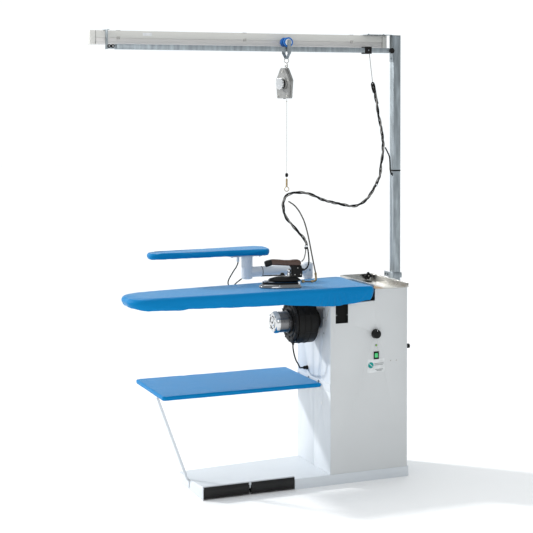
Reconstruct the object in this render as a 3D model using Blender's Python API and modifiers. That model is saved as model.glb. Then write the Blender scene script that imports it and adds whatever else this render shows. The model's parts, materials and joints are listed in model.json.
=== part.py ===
"""Vacuum ironing table with a steam generator cabinet, a swing-arm sleeve board,
an overhead gantry and a hand steam iron hung on a spring balancer.

Metres, +Z up. The main board runs along X with its round tip at -X, the operator
stands at -Y, and the floor is Z = 0. Shapes are placed from the right front corner
of the base, and the last step moves everything so that the origin is the middle of
the footprint.
"""
import math

import bmesh
import bpy
from mathutils import Matrix, Vector

# ---------------------------------------------------------------- driving sizes
GAP = 0.0003
SHEET = 0.002

BASE_LENGTH = 1.085
BASE_DEPTH = 0.390
BASE_TIP_DEPTH = 0.340
BASE_HEIGHT = 0.050
BASE_LIP_TOP = 0.065
BASE_FLANGE = 0.017

PEDAL_SPANS = {"pedal_left": (-1.0785, -0.8535), "pedal_right": (-0.8397, -0.6175)}
PEDAL_BOTTOM = 0.007
PEDAL_TOP = 0.060
PEDAL_AXLE_Y = 0.060
PEDAL_AXLE_Z = 0.030
PEDAL_AXLE_RADIUS = 0.005

CABINET_LEFT = -0.428
CABINET_RIGHT = -0.008
CABINET_DEPTH = 0.392
CABINET_TOP = 0.940
CABINET_SHOULDER = 0.884
PANEL_SEAM_Y = 0.1915

BOARD_RIGHT = -0.198
BOARD_LENGTH = 1.234
BOARD_FRONT = -0.024
BOARD_WIDTH = 0.402
BOARD_TIP_WIDTH = 0.263
BOARD_TOP = 0.960
BOARD_HEM = 0.896
BOARD_PADDING = 0.014
PAN_BOTTOM = 0.915

SLEEVE_RIGHT = -0.585
SLEEVE_LENGTH = 0.638
SLEEVE_FRONT = 0.355
SLEEVE_WIDTH = 0.185
SLEEVE_TIP_WIDTH = 0.100
SLEEVE_TOP = 1.122
SLEEVE_HEM = 1.088

ARM_X = -0.362
ARM_Y = 0.416
ARM_Z = 1.000
ARM_RADIUS = 0.0265
RISER_X = -0.698
COLUMN_RADIUS = 0.020

SHELF_LEFT = -1.250
SHELF_RIGHT = -0.4315
SHELF_FRONT = 0.094
SHELF_BACK = 0.536
BRACE_WIDTH = 0.0125
SHELF_TOP = 0.480
SHELF_HEM = 0.459

FAN_Y = 0.160
FAN_Z = 0.783
FAN_RADIUS = 0.108
FAN_LEFT = -0.565
FAN_RIGHT = -0.465
MOTOR_LEFT = -0.668

GANTRY_Y = 0.190
POST_LEFT = 0.004
POST_SIZE = 0.040
POST_BOTTOM = 0.660
POST_TOP = 2.194
RAIL_LEFT = -1.447
RAIL_BOTTOM = 2.107
RAIL_TOP = 2.131
RAIL_DEPTH = 0.036
LAMP_LEFT = -1.557
LAMP_FRONT = 0.237
LAMP_BOTTOM = 2.130
LAMP_TOP = 2.197
LAMP_DEPTH = 0.050
LAMP_SPLIT = 2.162
LAMP_CAP = 0.027

TROLLEY_X = -0.5785
WHEEL_TREAD = 0.021
BALANCER_X = -0.588
BALANCER_TURN = math.radians(13.0)
KNOB_Z = 1.949
WIRE_X = -0.577

IRON_TIP = Vector((-0.745, 0.135, BOARD_TOP + 2 * GAP))
IRON_TURN = math.radians(-11.0)
IRON_LENGTH = 0.200

# the middle of the footprint, measured from the right front corner of the base
FOOTPRINT_MIDDLE = Vector((-0.7535, 0.256, 0.0))

# routes of the free cords, chosen by hand point by point
BUNDLE_ROUTE = [
    (-0.106, 0.190, 1.950), (-0.089, 0.190, 1.898), (-0.075, 0.190, 1.812),
    (-0.047, 0.190, 1.677), (-0.044, 0.190, 1.628), (-0.057, 0.190, 1.536),
    (-0.066, 0.190, 1.480), (-0.108, 0.190, 1.402), (-0.160, 0.190, 1.353),
    (-0.211, 0.190, 1.336), (-0.305, 0.190, 1.352), (-0.392, 0.190, 1.378),
    (-0.471, 0.190, 1.408), (-0.543, 0.190, 1.410), (-0.582, 0.187, 1.396),
    (-0.601, 0.182, 1.356), (-0.587, 0.170, 1.292), (-0.539, 0.140, 1.226),
    (-0.512, 0.118, 1.185), (-0.506, 0.109, 1.150),
]
BLACK_TAIL_ROUTE = [
    (-0.500, 0.108, 1.142), (-0.498, 0.103, 1.110), (-0.498, 0.100, 1.080),
    (-0.506, 0.099, 1.054), (-0.526, 0.097, 1.040),
]
GREY_TAIL_ROUTE = [
    (-0.511, 0.108, 1.142), (-0.515, 0.105, 1.118), (-0.524, 0.102, 1.094),
    (-0.537, 0.099, 1.082),
]
HOSE_ROUTE = [
    (-0.573, 0.176, 1.371), (-0.545, 0.172, 1.352), (-0.523, 0.168, 1.326),
    (-0.508, 0.160, 1.296), (-0.496, 0.152, 1.262), (-0.484, 0.141, 1.205),
    (-0.475, 0.129, 1.140), (-0.467, 0.118, 1.080), (-0.459, 0.106, 1.020),
    (-0.461, 0.099, 0.990), (-0.484, 0.096, 0.982), (-0.526, 0.0945, 0.985),
]
SLEEVE_LEAD_ROUTE = [
    (-0.748, 0.412, 1.0543), (-0.7495, 0.412, 1.045), (-0.758, 0.414, 1.027), (-0.777, 0.416, 0.999),
    (-0.797, 0.416, 0.965), (-0.799, 0.416, 0.944), (-0.789, 0.416, 0.929),
    (-0.773, 0.416, 0.933), (-0.752, 0.416, 0.951), (-0.727, 0.416, 0.968),
]
MOTOR_LEAD_ROUTE = [
    (-0.556, 0.160, 0.6655), (-0.556, 0.160, 0.650), (-0.547, 0.165, 0.615),
    (-0.532, 0.178, 0.585), (-0.508, 0.204, 0.558), (-0.488, 0.235, 0.538),
    (-0.472, 0.264, 0.527), (-0.4532, 0.270, 0.5246),
]
POST_LEAD_ROUTE = [
    (-0.0325, 0.190, 1.628), (-0.023, 0.189, 1.610), (-0.010, 0.188, 1.582),
    (-0.007, 0.187, 1.550), (-0.006, 0.186, 1.515), (0.0005, 0.185, 1.490),
]
LOOP_CORD_ROUTE = [
    (-0.123, 0.190, 2.1005), (-0.119, 0.190, 2.070), (-0.113, 0.190, 2.020),
    (-0.107, 0.190, 1.975), (-0.106, 0.190, 1.9575),
]

PAINTS = {
    "white_paint": ((0.78, 0.80, 0.83), 0.45, 0.0),
    "grey_paint": ((0.55, 0.56, 0.56), 0.45, 0.0),
    "black_plastic": ((0.02, 0.02, 0.02), 0.45, 0.0),
    "black_paint": ((0.025, 0.025, 0.03), 0.35, 0.0),
    "blue_cloth": ((0.0, 0.17, 0.46), 0.85, 0.0),
    "stainless": ((0.60, 0.60, 0.58), 0.25, 1.0),
    "galvanised": ((0.50, 0.54, 0.57), 0.40, 1.0),
    "cork": ((0.42, 0.30, 0.20), 0.90, 0.0),
    "brass": ((0.66, 0.50, 0.24), 0.30, 1.0),
    "cast_alloy": ((0.55, 0.55, 0.54), 0.50, 1.0),
    "dark_wood": ((0.11, 0.055, 0.035), 0.55, 0.0),
    "green_lens": ((0.05, 0.45, 0.15), 0.25, 0.0),
    "lamp_grey": ((0.52, 0.51, 0.49), 0.50, 0.0),
    "lamp_diffuser": ((0.72, 0.71, 0.69), 0.40, 0.0),
    "black_rubber": ((0.03, 0.03, 0.03), 0.70, 0.0),
    "grey_braid": ((0.30, 0.29, 0.28), 0.80, 0.0),
    "nylon": ((0.10, 0.22, 0.45), 0.40, 0.0),
}


# ---------------------------------------------------------------- scene helpers
def clear_scene():
    for item in list(bpy.data.objects):
        bpy.data.objects.remove(item, do_unlink=True)


def new_collection(name):
    group = bpy.data.collections.new(name)
    bpy.context.scene.collection.children.link(group)
    return group


def paint(name):
    """One Principled material a paint, made the first time that it is asked for."""
    found = bpy.data.materials.get(name)
    if found:
        return found
    colour, roughness, metallic = PAINTS[name]
    made = bpy.data.materials.new(name)
    made.use_nodes = True
    shader = made.node_tree.nodes["Principled BSDF"]
    shader.inputs["Base Color"].default_value = (*colour, 1.0)
    shader.inputs["Roughness"].default_value = roughness
    shader.inputs["Metallic"].default_value = metallic
    return made


def file_part(item, name, paint_name):
    """Name an object, colour it and put it among the parts."""
    item.name = name
    item.data.materials.clear()
    item.data.materials.append(paint(paint_name))
    for group in list(item.users_collection):
        group.objects.unlink(item)
    PARTS.objects.link(item)
    return item


def file_tool(item):
    """Put an object among the cutters: it shapes others and isn't a part."""
    for group in list(item.users_collection):
        group.objects.unlink(item)
    CUTTERS.objects.link(item)
    item.hide_render = True
    item.display_type = "WIRE"
    return item


def smooth(item, angle=35.0):
    item.data.shade_smooth()
    item.data.set_sharp_from_angle(angle=math.radians(angle))
    return item


def boolean(target, tool, operation):
    step = target.modifiers.new(operation.lower(), "BOOLEAN")
    step.operation = operation
    step.solver = "EXACT"
    step.object = file_tool(tool)
    return target


def cut(target, *tools):
    for tool in tools:
        boolean(target, tool, "DIFFERENCE")
    return target


def fuse(target, *tools):
    for tool in tools:
        boolean(target, tool, "UNION")
    return target


def bevel(item, width, segments=1, angle=40.0):
    step = item.modifiers.new("bevel", "BEVEL")
    step.width = width
    step.segments = segments
    step.limit_method = "ANGLE"
    step.angle_limit = math.radians(angle)
    return item


# ---------------------------------------------------------------- basic shapes
def box(low, high):
    """A box from its lowest to its highest corner."""
    low = Vector(low)
    high = Vector(high)
    bpy.ops.mesh.primitive_cube_add(size=1.0, location=(low + high) / 2)
    item = bpy.context.object
    item.data.transform(Matrix.Diagonal((*(high - low), 1.0)))
    return item


def cylinder(start, end, radius, sides=24):
    """A round bar between two points."""
    start = Vector(start)
    end = Vector(end)
    bpy.ops.mesh.primitive_cylinder_add(
        vertices=sides, radius=radius, depth=(end - start).length, location=(start + end) / 2)
    item = bpy.context.object
    item.data.transform(Vector((0, 0, 1)).rotation_difference(end - start).to_matrix().to_4x4())
    return smooth(item)


def ring(centre, radius, wire_radius, turn=(math.pi / 2, 0, 0)):
    """A wire ring; by default it faces along Y."""
    bpy.ops.mesh.primitive_torus_add(
        location=centre, rotation=turn, major_radius=radius, minor_radius=wire_radius,
        major_segments=16, minor_segments=6)
    return smooth(bpy.context.object)


def as_mesh(curve_item):
    """Turn a curve into a welded mesh object, so that it can be cut or joined."""
    bpy.context.view_layer.update()
    ready = curve_item.evaluated_get(bpy.context.evaluated_depsgraph_get())
    mesh = bpy.data.meshes.new_from_object(ready)
    work = bmesh.new()
    work.from_mesh(mesh)
    bmesh.ops.remove_doubles(work, verts=work.verts, dist=0.00002)
    bmesh.ops.recalc_face_normals(work, faces=work.faces)
    work.to_mesh(mesh)
    work.free()
    item = bpy.data.objects.new(curve_item.name, mesh)
    bpy.context.scene.collection.objects.link(item)
    item.matrix_world = curve_item.matrix_world
    bpy.data.objects.remove(curve_item, do_unlink=True)
    return item


PLANE_TURNS = {
    "XY": Matrix.Identity(3),
    "XZ": Matrix(((1, 0, 0), (0, 0, -1), (0, 1, 0))),
    "YZ": Matrix(((0, 0, 1), (1, 0, 0), (0, 1, 0))),
}


def plate(loops, plane, low, high):
    """A flat outline, with its holes, as a plate between two levels across its plane."""
    curve = bpy.data.curves.new("plate", "CURVE")
    curve.dimensions = "2D"
    curve.fill_mode = "BOTH"
    curve.extrude = (high - low) / 2
    for loop in loops:
        spline = curve.splines.new("POLY")
        spline.points.add(len(loop) - 1)
        spline.use_cyclic_u = True
        for point, (across, along) in zip(spline.points, loop):
            point.co = (across, along, 0.0, 1.0)
    item = bpy.data.objects.new("plate", curve)
    bpy.context.scene.collection.objects.link(item)
    turn = PLANE_TURNS[plane]
    level = (low + high) / 2
    if plane == "XZ":
        level = -level
    item.matrix_world = Matrix.Translation(turn @ Vector((0, 0, level))) @ turn.to_4x4()
    return as_mesh(item)


def circle(across, along, radius, sides=20):
    """A round loop for a plate's outline or its hole."""
    angles = [2 * math.pi * step / sides for step in range(sides)]
    return [(across + radius * math.cos(a), along + radius * math.sin(a)) for a in angles]


def oblong(x_low, x_high, z_low, z_high):
    return [(x_low, z_low), (x_high, z_low), (x_high, z_high), (x_low, z_high)]


def rounded(corners, steps=5):
    """A closed outline with each corner (across, along, radius) rounded by an arc."""
    outline = []
    count = len(corners)
    for index, (across, along, radius) in enumerate(corners):
        here = Vector((across, along))
        before = Vector(corners[index - 1][:2]) - here
        after = Vector(corners[(index + 1) % count][:2]) - here
        half = before.angle(after) / 2
        reach = radius / math.tan(half)
        start = here + before.normalized() * reach
        end = here + after.normalized() * reach
        centre = here + (before.normalized() + after.normalized()).normalized() * radius / math.sin(half)
        sweep = (start - centre).angle_signed(end - centre)
        for step in range(steps + 1):
            spoke = (start - centre).copy()
            spoke.rotate(Matrix.Rotation(-sweep * step / steps, 2))
            outline.append(tuple(centre + spoke))
    return outline


def strip(points, thickness):
    """The outline of a bent flat bar that follows points, thickness to one side of them."""
    line = [Vector(point) for point in points]
    offset = []
    for index, point in enumerate(line):
        before = (point - line[index - 1]).normalized() if index else None
        after = (line[index + 1] - point).normalized() if index + 1 < len(line) else None
        if before is None:
            before = after
        if after is None:
            after = before
        bisector = (before + after).normalized()
        normal = Vector((-bisector.y, bisector.x))
        offset.append(point + normal * thickness / max(0.3, bisector.dot(before)))
    return [tuple(p) for p in line] + [tuple(p) for p in reversed(offset)]


def turned(profile, steps=24):
    """A turned solid: (radius, height) points run down the outer side, top to bottom."""
    mesh = bpy.data.meshes.new("profile")
    points = [(radius, 0.0, height) for radius, height in profile]
    edges = [(index, index + 1) for index in range(len(points) - 1)]
    if profile[0][0] > 0 and profile[-1][0] > 0:
        edges.append((len(points) - 1, 0))
    mesh.from_pydata(points, edges, [])
    item = bpy.data.objects.new("turned", mesh)
    bpy.context.scene.collection.objects.link(item)
    step = item.modifiers.new("screw", "SCREW")
    step.steps = steps
    step.render_steps = steps
    step.use_merge_vertices = True
    step.merge_threshold = 0.00005
    return item


def solid_turned(profile, location, direction=(0, 0, 1), steps=24):
    """A turned solid as a plain mesh, with its own Z set along a direction."""
    raw = turned(profile, steps)
    turn = Vector((0, 0, 1)).rotation_difference(Vector(direction)).to_matrix().to_4x4()
    raw.matrix_world = Matrix.Translation(location) @ turn
    return smooth(as_mesh(raw))


# ---------------------------------------------------------------- cords
def smooth_route(route, spacing):
    """Points at even spacing along a smooth curve through the route's points."""
    points = [Vector(point) for point in route]
    ends = [2 * points[0] - points[1], *points, 2 * points[-1] - points[-2]]
    fine = [points[0]]
    for index in range(1, len(ends) - 2):
        a, b, c, d = ends[index - 1:index + 3]
        for step in range(1, 21):
            t = step / 20
            fine.append(0.5 * (2 * b + (c - a) * t + (2 * a - 5 * b + 4 * c - d) * t ** 2
                               + (3 * b - a - 3 * c + d) * t ** 3))
    lengths = [0.0]
    for before, after in zip(fine, fine[1:]):
        lengths.append(lengths[-1] + (after - before).length)
    count = max(2, round(lengths[-1] / spacing))
    even = []
    place = 0
    for step in range(count + 1):
        target = lengths[-1] * step / count
        while place < len(fine) - 2 and lengths[place + 1] < target:
            place += 1
        share = (target - lengths[place]) / (lengths[place + 1] - lengths[place])
        even.append(fine[place].lerp(fine[place + 1], min(1.0, share)))
    return even


def tube(route, radius, spacing, resolution=2):
    """A plain round tube along a route."""
    curve = bpy.data.curves.new("tube", "CURVE")
    curve.dimensions = "3D"
    curve.bevel_depth = radius
    curve.bevel_resolution = resolution
    curve.use_fill_caps = True
    points = smooth_route(route, spacing)
    spline = curve.splines.new("POLY")
    spline.points.add(len(points) - 1)
    for point, place in zip(spline.points, points):
        point.co = (*place, 1.0)
    item = bpy.data.objects.new("tube", curve)
    bpy.context.scene.collection.objects.link(item)
    return item


def move(items, matrix):
    """Move objects in the world, each with the shape that it has now."""
    bpy.context.view_layer.update()
    for item in items:
        item.matrix_world = matrix @ item.matrix_world


def set_origin(item, place):
    """Put an object's origin on its joint axis without moving its shape."""
    place = Vector(place)
    bpy.context.view_layer.update()
    shift = item.matrix_world.inverted() @ place
    item.data.transform(Matrix.Translation(-shift))
    item.matrix_world = Matrix.Translation(place) @ item.matrix_world.to_3x3().to_4x4()
    return item


# ---------------------------------------------------------------- base and pedals
def base_outline(inset):
    """The base from above: full depth under the cabinet, then narrower towards the pedal end."""
    left = -BASE_LENGTH + inset
    return [(left, inset), (-inset, inset), (-inset, BASE_DEPTH - inset),
            (CABINET_LEFT, BASE_DEPTH - inset), (left, BASE_TIP_DEPTH - inset)]


def make_base():
    """A folded sheet tray, open below, with a window in front for the two pedals."""
    left = -BASE_LENGTH
    window_left = left + 0.0035
    window_right = -0.6155
    tray = plate([base_outline(0.0)], "XY", 0.0, BASE_HEIGHT)
    pocket = plate([base_outline(SHEET)], "XY", SHEET, BASE_HEIGHT - SHEET)
    mouth = plate([base_outline(BASE_FLANGE)], "XY", -0.01, 0.01)
    window = box((window_left, -0.01, -0.01), (window_right, 0.0045, 0.07))
    recess = box((window_left, -0.01, -0.01), (window_right, 0.020, BASE_HEIGHT - SHEET - 0.0001))
    lip = box((left + 0.001, 0.0045, BASE_HEIGHT - 0.0015), (window_right, 0.0065, BASE_LIP_TOP))
    rib = box((window_right, 0.0005, 0.0005), (window_right + SHEET, 0.085, BASE_HEIGHT - 0.001))
    cheek = plate([[(0.0005, 0.044), (0.195, 0.044), (0.195, BASE_HEIGHT + 0.0003),
                    (0.0005, BASE_LIP_TOP + 0.001)]], "YZ", left + 0.0001, left + SHEET)
    slit = box((left - 0.01, 0.160, 0.040), (left + 0.004, 0.163, 0.07))
    cut(tray, pocket, mouth, window, recess)
    fuse(tray, lip, rib, cheek)
    cut(tray, slit)
    return file_part(tray, "base_tray", "white_paint")


def make_pedals():
    """Two black plates that tip about one axle behind them."""
    for name, (left, right) in PEDAL_SPANS.items():
        pedal = box((left, 0, PEDAL_BOTTOM), (right, 0.003, PEDAL_TOP))
        for start in (left, right - 0.003):
            ear = plate([[(0.002, 0.014), (0.074, 0.014), (0.074, 0.046), (0.002, 0.046)],
                         circle(PEDAL_AXLE_Y, PEDAL_AXLE_Z, PEDAL_AXLE_RADIUS + 0.0004)],
                        "YZ", start + 0.0001, start + 0.0029)
            fuse(pedal, ear)
        file_part(pedal, name, "black_paint")
        set_origin(pedal, ((left + right) / 2, PEDAL_AXLE_Y, PEDAL_AXLE_Z))
    axle = cylinder((-BASE_LENGTH + SHEET + GAP, PEDAL_AXLE_Y, PEDAL_AXLE_Z),
                    (-0.6155 - GAP, PEDAL_AXLE_Y, PEDAL_AXLE_Z), PEDAL_AXLE_RADIUS, 16)
    file_part(axle, "pedal_axle", "galvanised")


# ---------------------------------------------------------------- cabinet
KNOB_PLACE = (-0.184, 0.722)
LENS_PLACE = (-0.180, 0.6645)
SWITCH_PLACE = (-0.180, 0.615)
INLET_PLACE = (0.045, 0.640)
GLAND_PLACE = (0.270, 0.5246)
NOTCH_LEFT = -0.333
NOTCH_RIGHT = -0.187
NOTCH_BOTTOM = 0.885
WINDOW_LEFT = -0.400
WINDOW_BOTTOM = 0.784


def make_front_panel():
    """The front sheet, notched at its top left where the board's pan passes in."""
    left = CABINET_LEFT + SHEET + GAP
    right = CABINET_RIGHT - SHEET - GAP
    bottom = BASE_HEIGHT + GAP
    outline = [(left, bottom), (right, bottom), (right, CABINET_TOP), (NOTCH_RIGHT, CABINET_TOP),
               (NOTCH_RIGHT, NOTCH_BOTTOM), (NOTCH_LEFT, NOTCH_BOTTOM), (NOTCH_LEFT, WINDOW_BOTTOM),
               (WINDOW_LEFT, WINDOW_BOTTOM), (WINDOW_LEFT, NOTCH_BOTTOM), (left, NOTCH_BOTTOM)]
    switch_x, switch_z = SWITCH_PLACE
    window = oblong(switch_x - 0.0122, switch_x + 0.0122, switch_z - 0.0152, switch_z + 0.0152)
    panel = plate([outline, circle(*KNOB_PLACE, 0.0045), circle(*LENS_PLACE, 0.0043), window],
                  "XZ", 0.0, SHEET)
    file_part(panel, "front_panel", "grey_paint")


def make_side_panels():
    """The left wall is two sheets with a seam; the right wall and the back are one each."""
    bottom = BASE_HEIGHT + GAP
    front = oblong(0.0, PANEL_SEAM_Y, bottom, CABINET_SHOULDER)
    holes = [circle(0.102, 0.380, 0.006), circle(0.074, 0.848, 0.003),
             circle(0.076, 0.803, 0.003), circle(0.076, 0.728, 0.003)]
    near = plate([front, *holes], "YZ", CABINET_LEFT, CABINET_LEFT + SHEET)
    rear = oblong(PANEL_SEAM_Y + GAP, CABINET_DEPTH, bottom, CABINET_SHOULDER)
    far = plate([rear, circle(*GLAND_PLACE, 0.0065)], "YZ", CABINET_LEFT, CABINET_LEFT + SHEET)
    for wall in (near, far):
        inlet = cylinder((CABINET_LEFT - 0.02, FAN_Y, FAN_Z), (CABINET_LEFT + 0.02, FAN_Y, FAN_Z),
                         0.040)
        cut(wall, inlet)
    file_part(near, "side_panel_front", "white_paint")
    file_part(far, "side_panel_rear", "white_paint")
    wall = oblong(0.0, CABINET_DEPTH, bottom, CABINET_TOP)
    right = plate([wall, circle(*INLET_PLACE, 0.006)], "YZ", CABINET_RIGHT - SHEET, CABINET_RIGHT)
    file_part(right, "right_panel", "white_paint")
    back = box((CABINET_LEFT + SHEET + GAP, CABINET_DEPTH - SHEET, bottom),
               (CABINET_RIGHT - SHEET - GAP, CABINET_DEPTH, CABINET_TOP))
    file_part(back, "back_panel", "white_paint")


TRAY_LEFT = -0.184
TRAY_FLOOR = 0.928
TRAY_RIM = 0.9625
TRAY_SHEET = 0.0015
TAP_PLACE = Vector((-0.037, 0.370, 0.9545))


def make_tray():
    """The stainless tray in the cabinet's top, open to the front, with folded rims."""
    right = CABINET_RIGHT - SHEET - GAP
    tray = box((TRAY_LEFT, SHEET + GAP, TRAY_FLOOR - TRAY_SHEET),
               (right, CABINET_DEPTH - SHEET - GAP, CABINET_TOP + 2 * GAP))
    rim = box((TRAY_LEFT, 0.0, CABINET_TOP + GAP), (0.0, 0.400, TRAY_RIM))
    pocket = box((TRAY_LEFT + TRAY_SHEET, 0.0038, TRAY_FLOOR),
                 (-0.012, CABINET_DEPTH - 0.0038, TRAY_RIM + 0.02))
    front = box((TRAY_LEFT - 0.01, -0.01, CABINET_TOP + 0.0025), (-0.012, 0.020, TRAY_RIM + 0.02))
    groove = box((-0.0095, -0.01, 0.950), (-0.0020, 0.3985, TRAY_RIM + 0.02))
    hole = cylinder((TAP_PLACE.x, 0.37, TAP_PLACE.z), (TAP_PLACE.x, 0.42, TAP_PLACE.z), 0.0044, 16)
    fuse(tray, rim)
    cut(tray, pocket, front, groove, hole)
    file_part(tray, "top_tray", "stainless")
    mat = box((TRAY_LEFT + 0.006, 0.010, TRAY_FLOOR + GAP), (-0.105, 0.290, TRAY_FLOOR + 0.006))
    file_part(bevel(mat, 0.001), "rest_mat", "cork")


def make_star_knob():
    """A four-lobed hand knob on a threaded stem through the tray's back rim."""
    lobes = []
    for step in range(32):
        angle = 2 * math.pi * step / 32
        reach = 0.0145 + 0.0035 * math.cos(4 * angle)
        lobes.append((TAP_PLACE.x + reach * math.sin(angle), TAP_PLACE.z + reach * math.cos(angle)))
    knob = plate([lobes], "XZ", TAP_PLACE.y - 0.006, TAP_PLACE.y + 0.006)
    stem = cylinder((TAP_PLACE.x, TAP_PLACE.y, TAP_PLACE.z),
                    (TAP_PLACE.x, 0.416, TAP_PLACE.z), 0.004, 16)
    fuse(knob, stem)
    file_part(knob, "star_knob", "black_plastic")
    set_origin(knob, TAP_PLACE)


def make_controls():
    """The thermostat knob, the pilot lamp and the rocker switch on the front panel."""
    knob_x, knob_z = KNOB_PLACE
    knob = solid_turned([(0.0, 0.022), (0.0195, 0.022), (0.0215, 0.020), (0.0230, GAP),
                         (0.004, GAP), (0.004, -0.018), (0.0, -0.018)],
                        (knob_x, 0.0, knob_z), (0, -1, 0))
    file_part(knob, "thermostat_knob", "black_plastic")
    set_origin(knob, (knob_x, 0.0, knob_z))
    lens_x, lens_z = LENS_PLACE
    lens = solid_turned([(0.0, 0.005), (0.003, 0.0044), (0.0045, 0.0025), (0.0055, 0.0014),
                         (0.0055, GAP), (0.004, GAP), (0.004, -0.018), (0.0, -0.018)],
                        (lens_x, 0.0, lens_z), (0, -1, 0), 16)
    file_part(lens, "pilot_lamp", "green_lens")
    centre_x, centre_z = SWITCH_PLACE
    frame = box((centre_x - 0.014, -0.003, centre_z - 0.019), (centre_x + 0.014, -GAP, centre_z + 0.019))
    body = box((centre_x - 0.0118, -0.001, centre_z - 0.0148),
               (centre_x + 0.0118, 0.022, centre_z + 0.0148))
    well = box((centre_x - 0.0092, -0.01, centre_z - 0.0126),
               (centre_x + 0.0092, 0.016, centre_z + 0.0126))
    fuse(frame, body)
    cut(frame, well)
    file_part(frame, "switch_frame", "black_plastic")
    rocker = plate([[(-0.0045, centre_z + 0.0105), (-0.0025, centre_z), (-0.0045, centre_z - 0.0105),
                     (0.004, centre_z - 0.0105), (0.009, centre_z), (0.004, centre_z + 0.0105)]],
                   "YZ", centre_x - 0.0088, centre_x + 0.0088)
    file_part(rocker, "switch_rocker", "green_lens")
    set_origin(rocker, (centre_x, 0.003, centre_z))


def make_fittings():
    """The water inlet in the right wall and the cable gland in the left wall."""
    inlet_y, inlet_z = INLET_PLACE
    inlet = solid_turned([(0.0, 0.036), (0.010, 0.036), (0.011, 0.034), (0.011, 0.022),
                          (0.006, 0.021), (0.006, 0.005), (0.012, 0.005), (0.012, GAP),
                          (0.0057, GAP), (0.0057, -0.018), (0.0, -0.018)],
                         (CABINET_RIGHT, inlet_y, inlet_z), (1, 0, 0), 16)
    file_part(inlet, "water_inlet", "brass")
    gland_y, gland_z = GLAND_PLACE
    gland = solid_turned([(0.0, 0.024), (0.006, 0.024), (0.0085, 0.020), (0.0085, 0.006),
                          (0.011, 0.006), (0.011, GAP), (0.0062, GAP), (0.0062, -0.012),
                          (0.0, -0.012)],
                         (CABINET_LEFT, gland_y, gland_z), (-1, 0, 0), 12)
    file_part(gland, "cable_gland", "black_plastic")


BOILER_X = -0.215
BOILER_Y = 0.200


def make_steam_unit():
    """The boiler shell, open at its top port, and the steam valve seated over the port."""
    low = BASE_HEIGHT + GAP
    top = low + 0.450
    shell = solid_turned([(0.010, 0.450), (0.070, 0.450), (0.110, 0.425), (0.120, 0.390),
                          (0.120, 0.015), (0.110, 0.0), (0.0, 0.0), (0.0, 0.003),
                          (0.108, 0.003), (0.117, 0.015), (0.117, 0.389), (0.108, 0.423),
                          (0.069, 0.447), (0.010, 0.447)], (BOILER_X, BOILER_Y, low))
    file_part(shell, "boiler_tank", "stainless")
    valve = box((BOILER_X - 0.020, BOILER_Y - 0.020, top + GAP),
                (BOILER_X + 0.020, BOILER_Y + 0.020, top + 0.035))
    coil = cylinder((BOILER_X, BOILER_Y, top + 0.030), (BOILER_X, BOILER_Y, top + 0.085), 0.018)
    nozzle = cylinder((BOILER_X + 0.018, BOILER_Y, top + 0.018),
                      (BOILER_X + 0.045, BOILER_Y, top + 0.018), 0.007, 16)
    fuse(valve, coil, nozzle)
    file_part(valve, "steam_valve", "brass")


# ---------------------------------------------------------------- main board
def board_outline(inset):
    """The board seen from above: a straight front, a tapered back and a round tip."""
    right = BOARD_RIGHT - inset
    left = BOARD_RIGHT - BOARD_LENGTH + inset
    front = BOARD_FRONT + inset
    back = BOARD_FRONT + BOARD_WIDTH - inset
    tip_back = BOARD_FRONT + BOARD_TIP_WIDTH - inset
    return rounded([(right, front, 0.024), (right, back, 0.030),
                    (left, tip_back, 0.120), (left, front, 0.085)])


def make_board():
    """The vacuum pan, its perforated lid and the padded cover over both."""
    lid_low = BOARD_TOP - BOARD_PADDING - 0.0018
    pan = plate([board_outline(0.014)], "XY", PAN_BOTTOM, lid_low - GAP)
    hollow = plate([board_outline(0.016)], "XY", PAN_BOTTOM + SHEET, lid_low + 0.01)
    cut(pan, hollow)
    for start in (0.050, 0.280):
        runner = box((-0.450, start, CABINET_SHOULDER + GAP), (-0.275, start + 0.035, PAN_BOTTOM + 0.001))
        fuse(pan, runner)
    duct = box((-0.536, FAN_Y - 0.021, PAN_BOTTOM - 0.01), (-0.494, FAN_Y + 0.021, PAN_BOTTOM + 0.01))
    cut(pan, duct)
    file_part(pan, "board_pan", "white_paint")
    slots = []
    for column in range(6):
        centre = -0.45 - 0.14 * column
        slots.append(oblong(centre - 0.025, centre + 0.025, 0.09, 0.10))
        slots.append(oblong(centre - 0.025, centre + 0.025, 0.17, 0.18))
    lid = plate([board_outline(0.014), *slots], "XY", lid_low, BOARD_TOP - BOARD_PADDING - GAP)
    file_part(lid, "board_grid", "galvanised")
    cover = plate([board_outline(0.0)], "XY", BOARD_HEM, BOARD_TOP)
    bevel(cover, 0.006, 1, 60)
    inside = plate([board_outline(0.014 - GAP)], "XY", BOARD_HEM - 0.01, BOARD_TOP - BOARD_PADDING)
    cut(cover, inside)
    file_part(cover, "board_cover", "blue_cloth")


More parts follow.
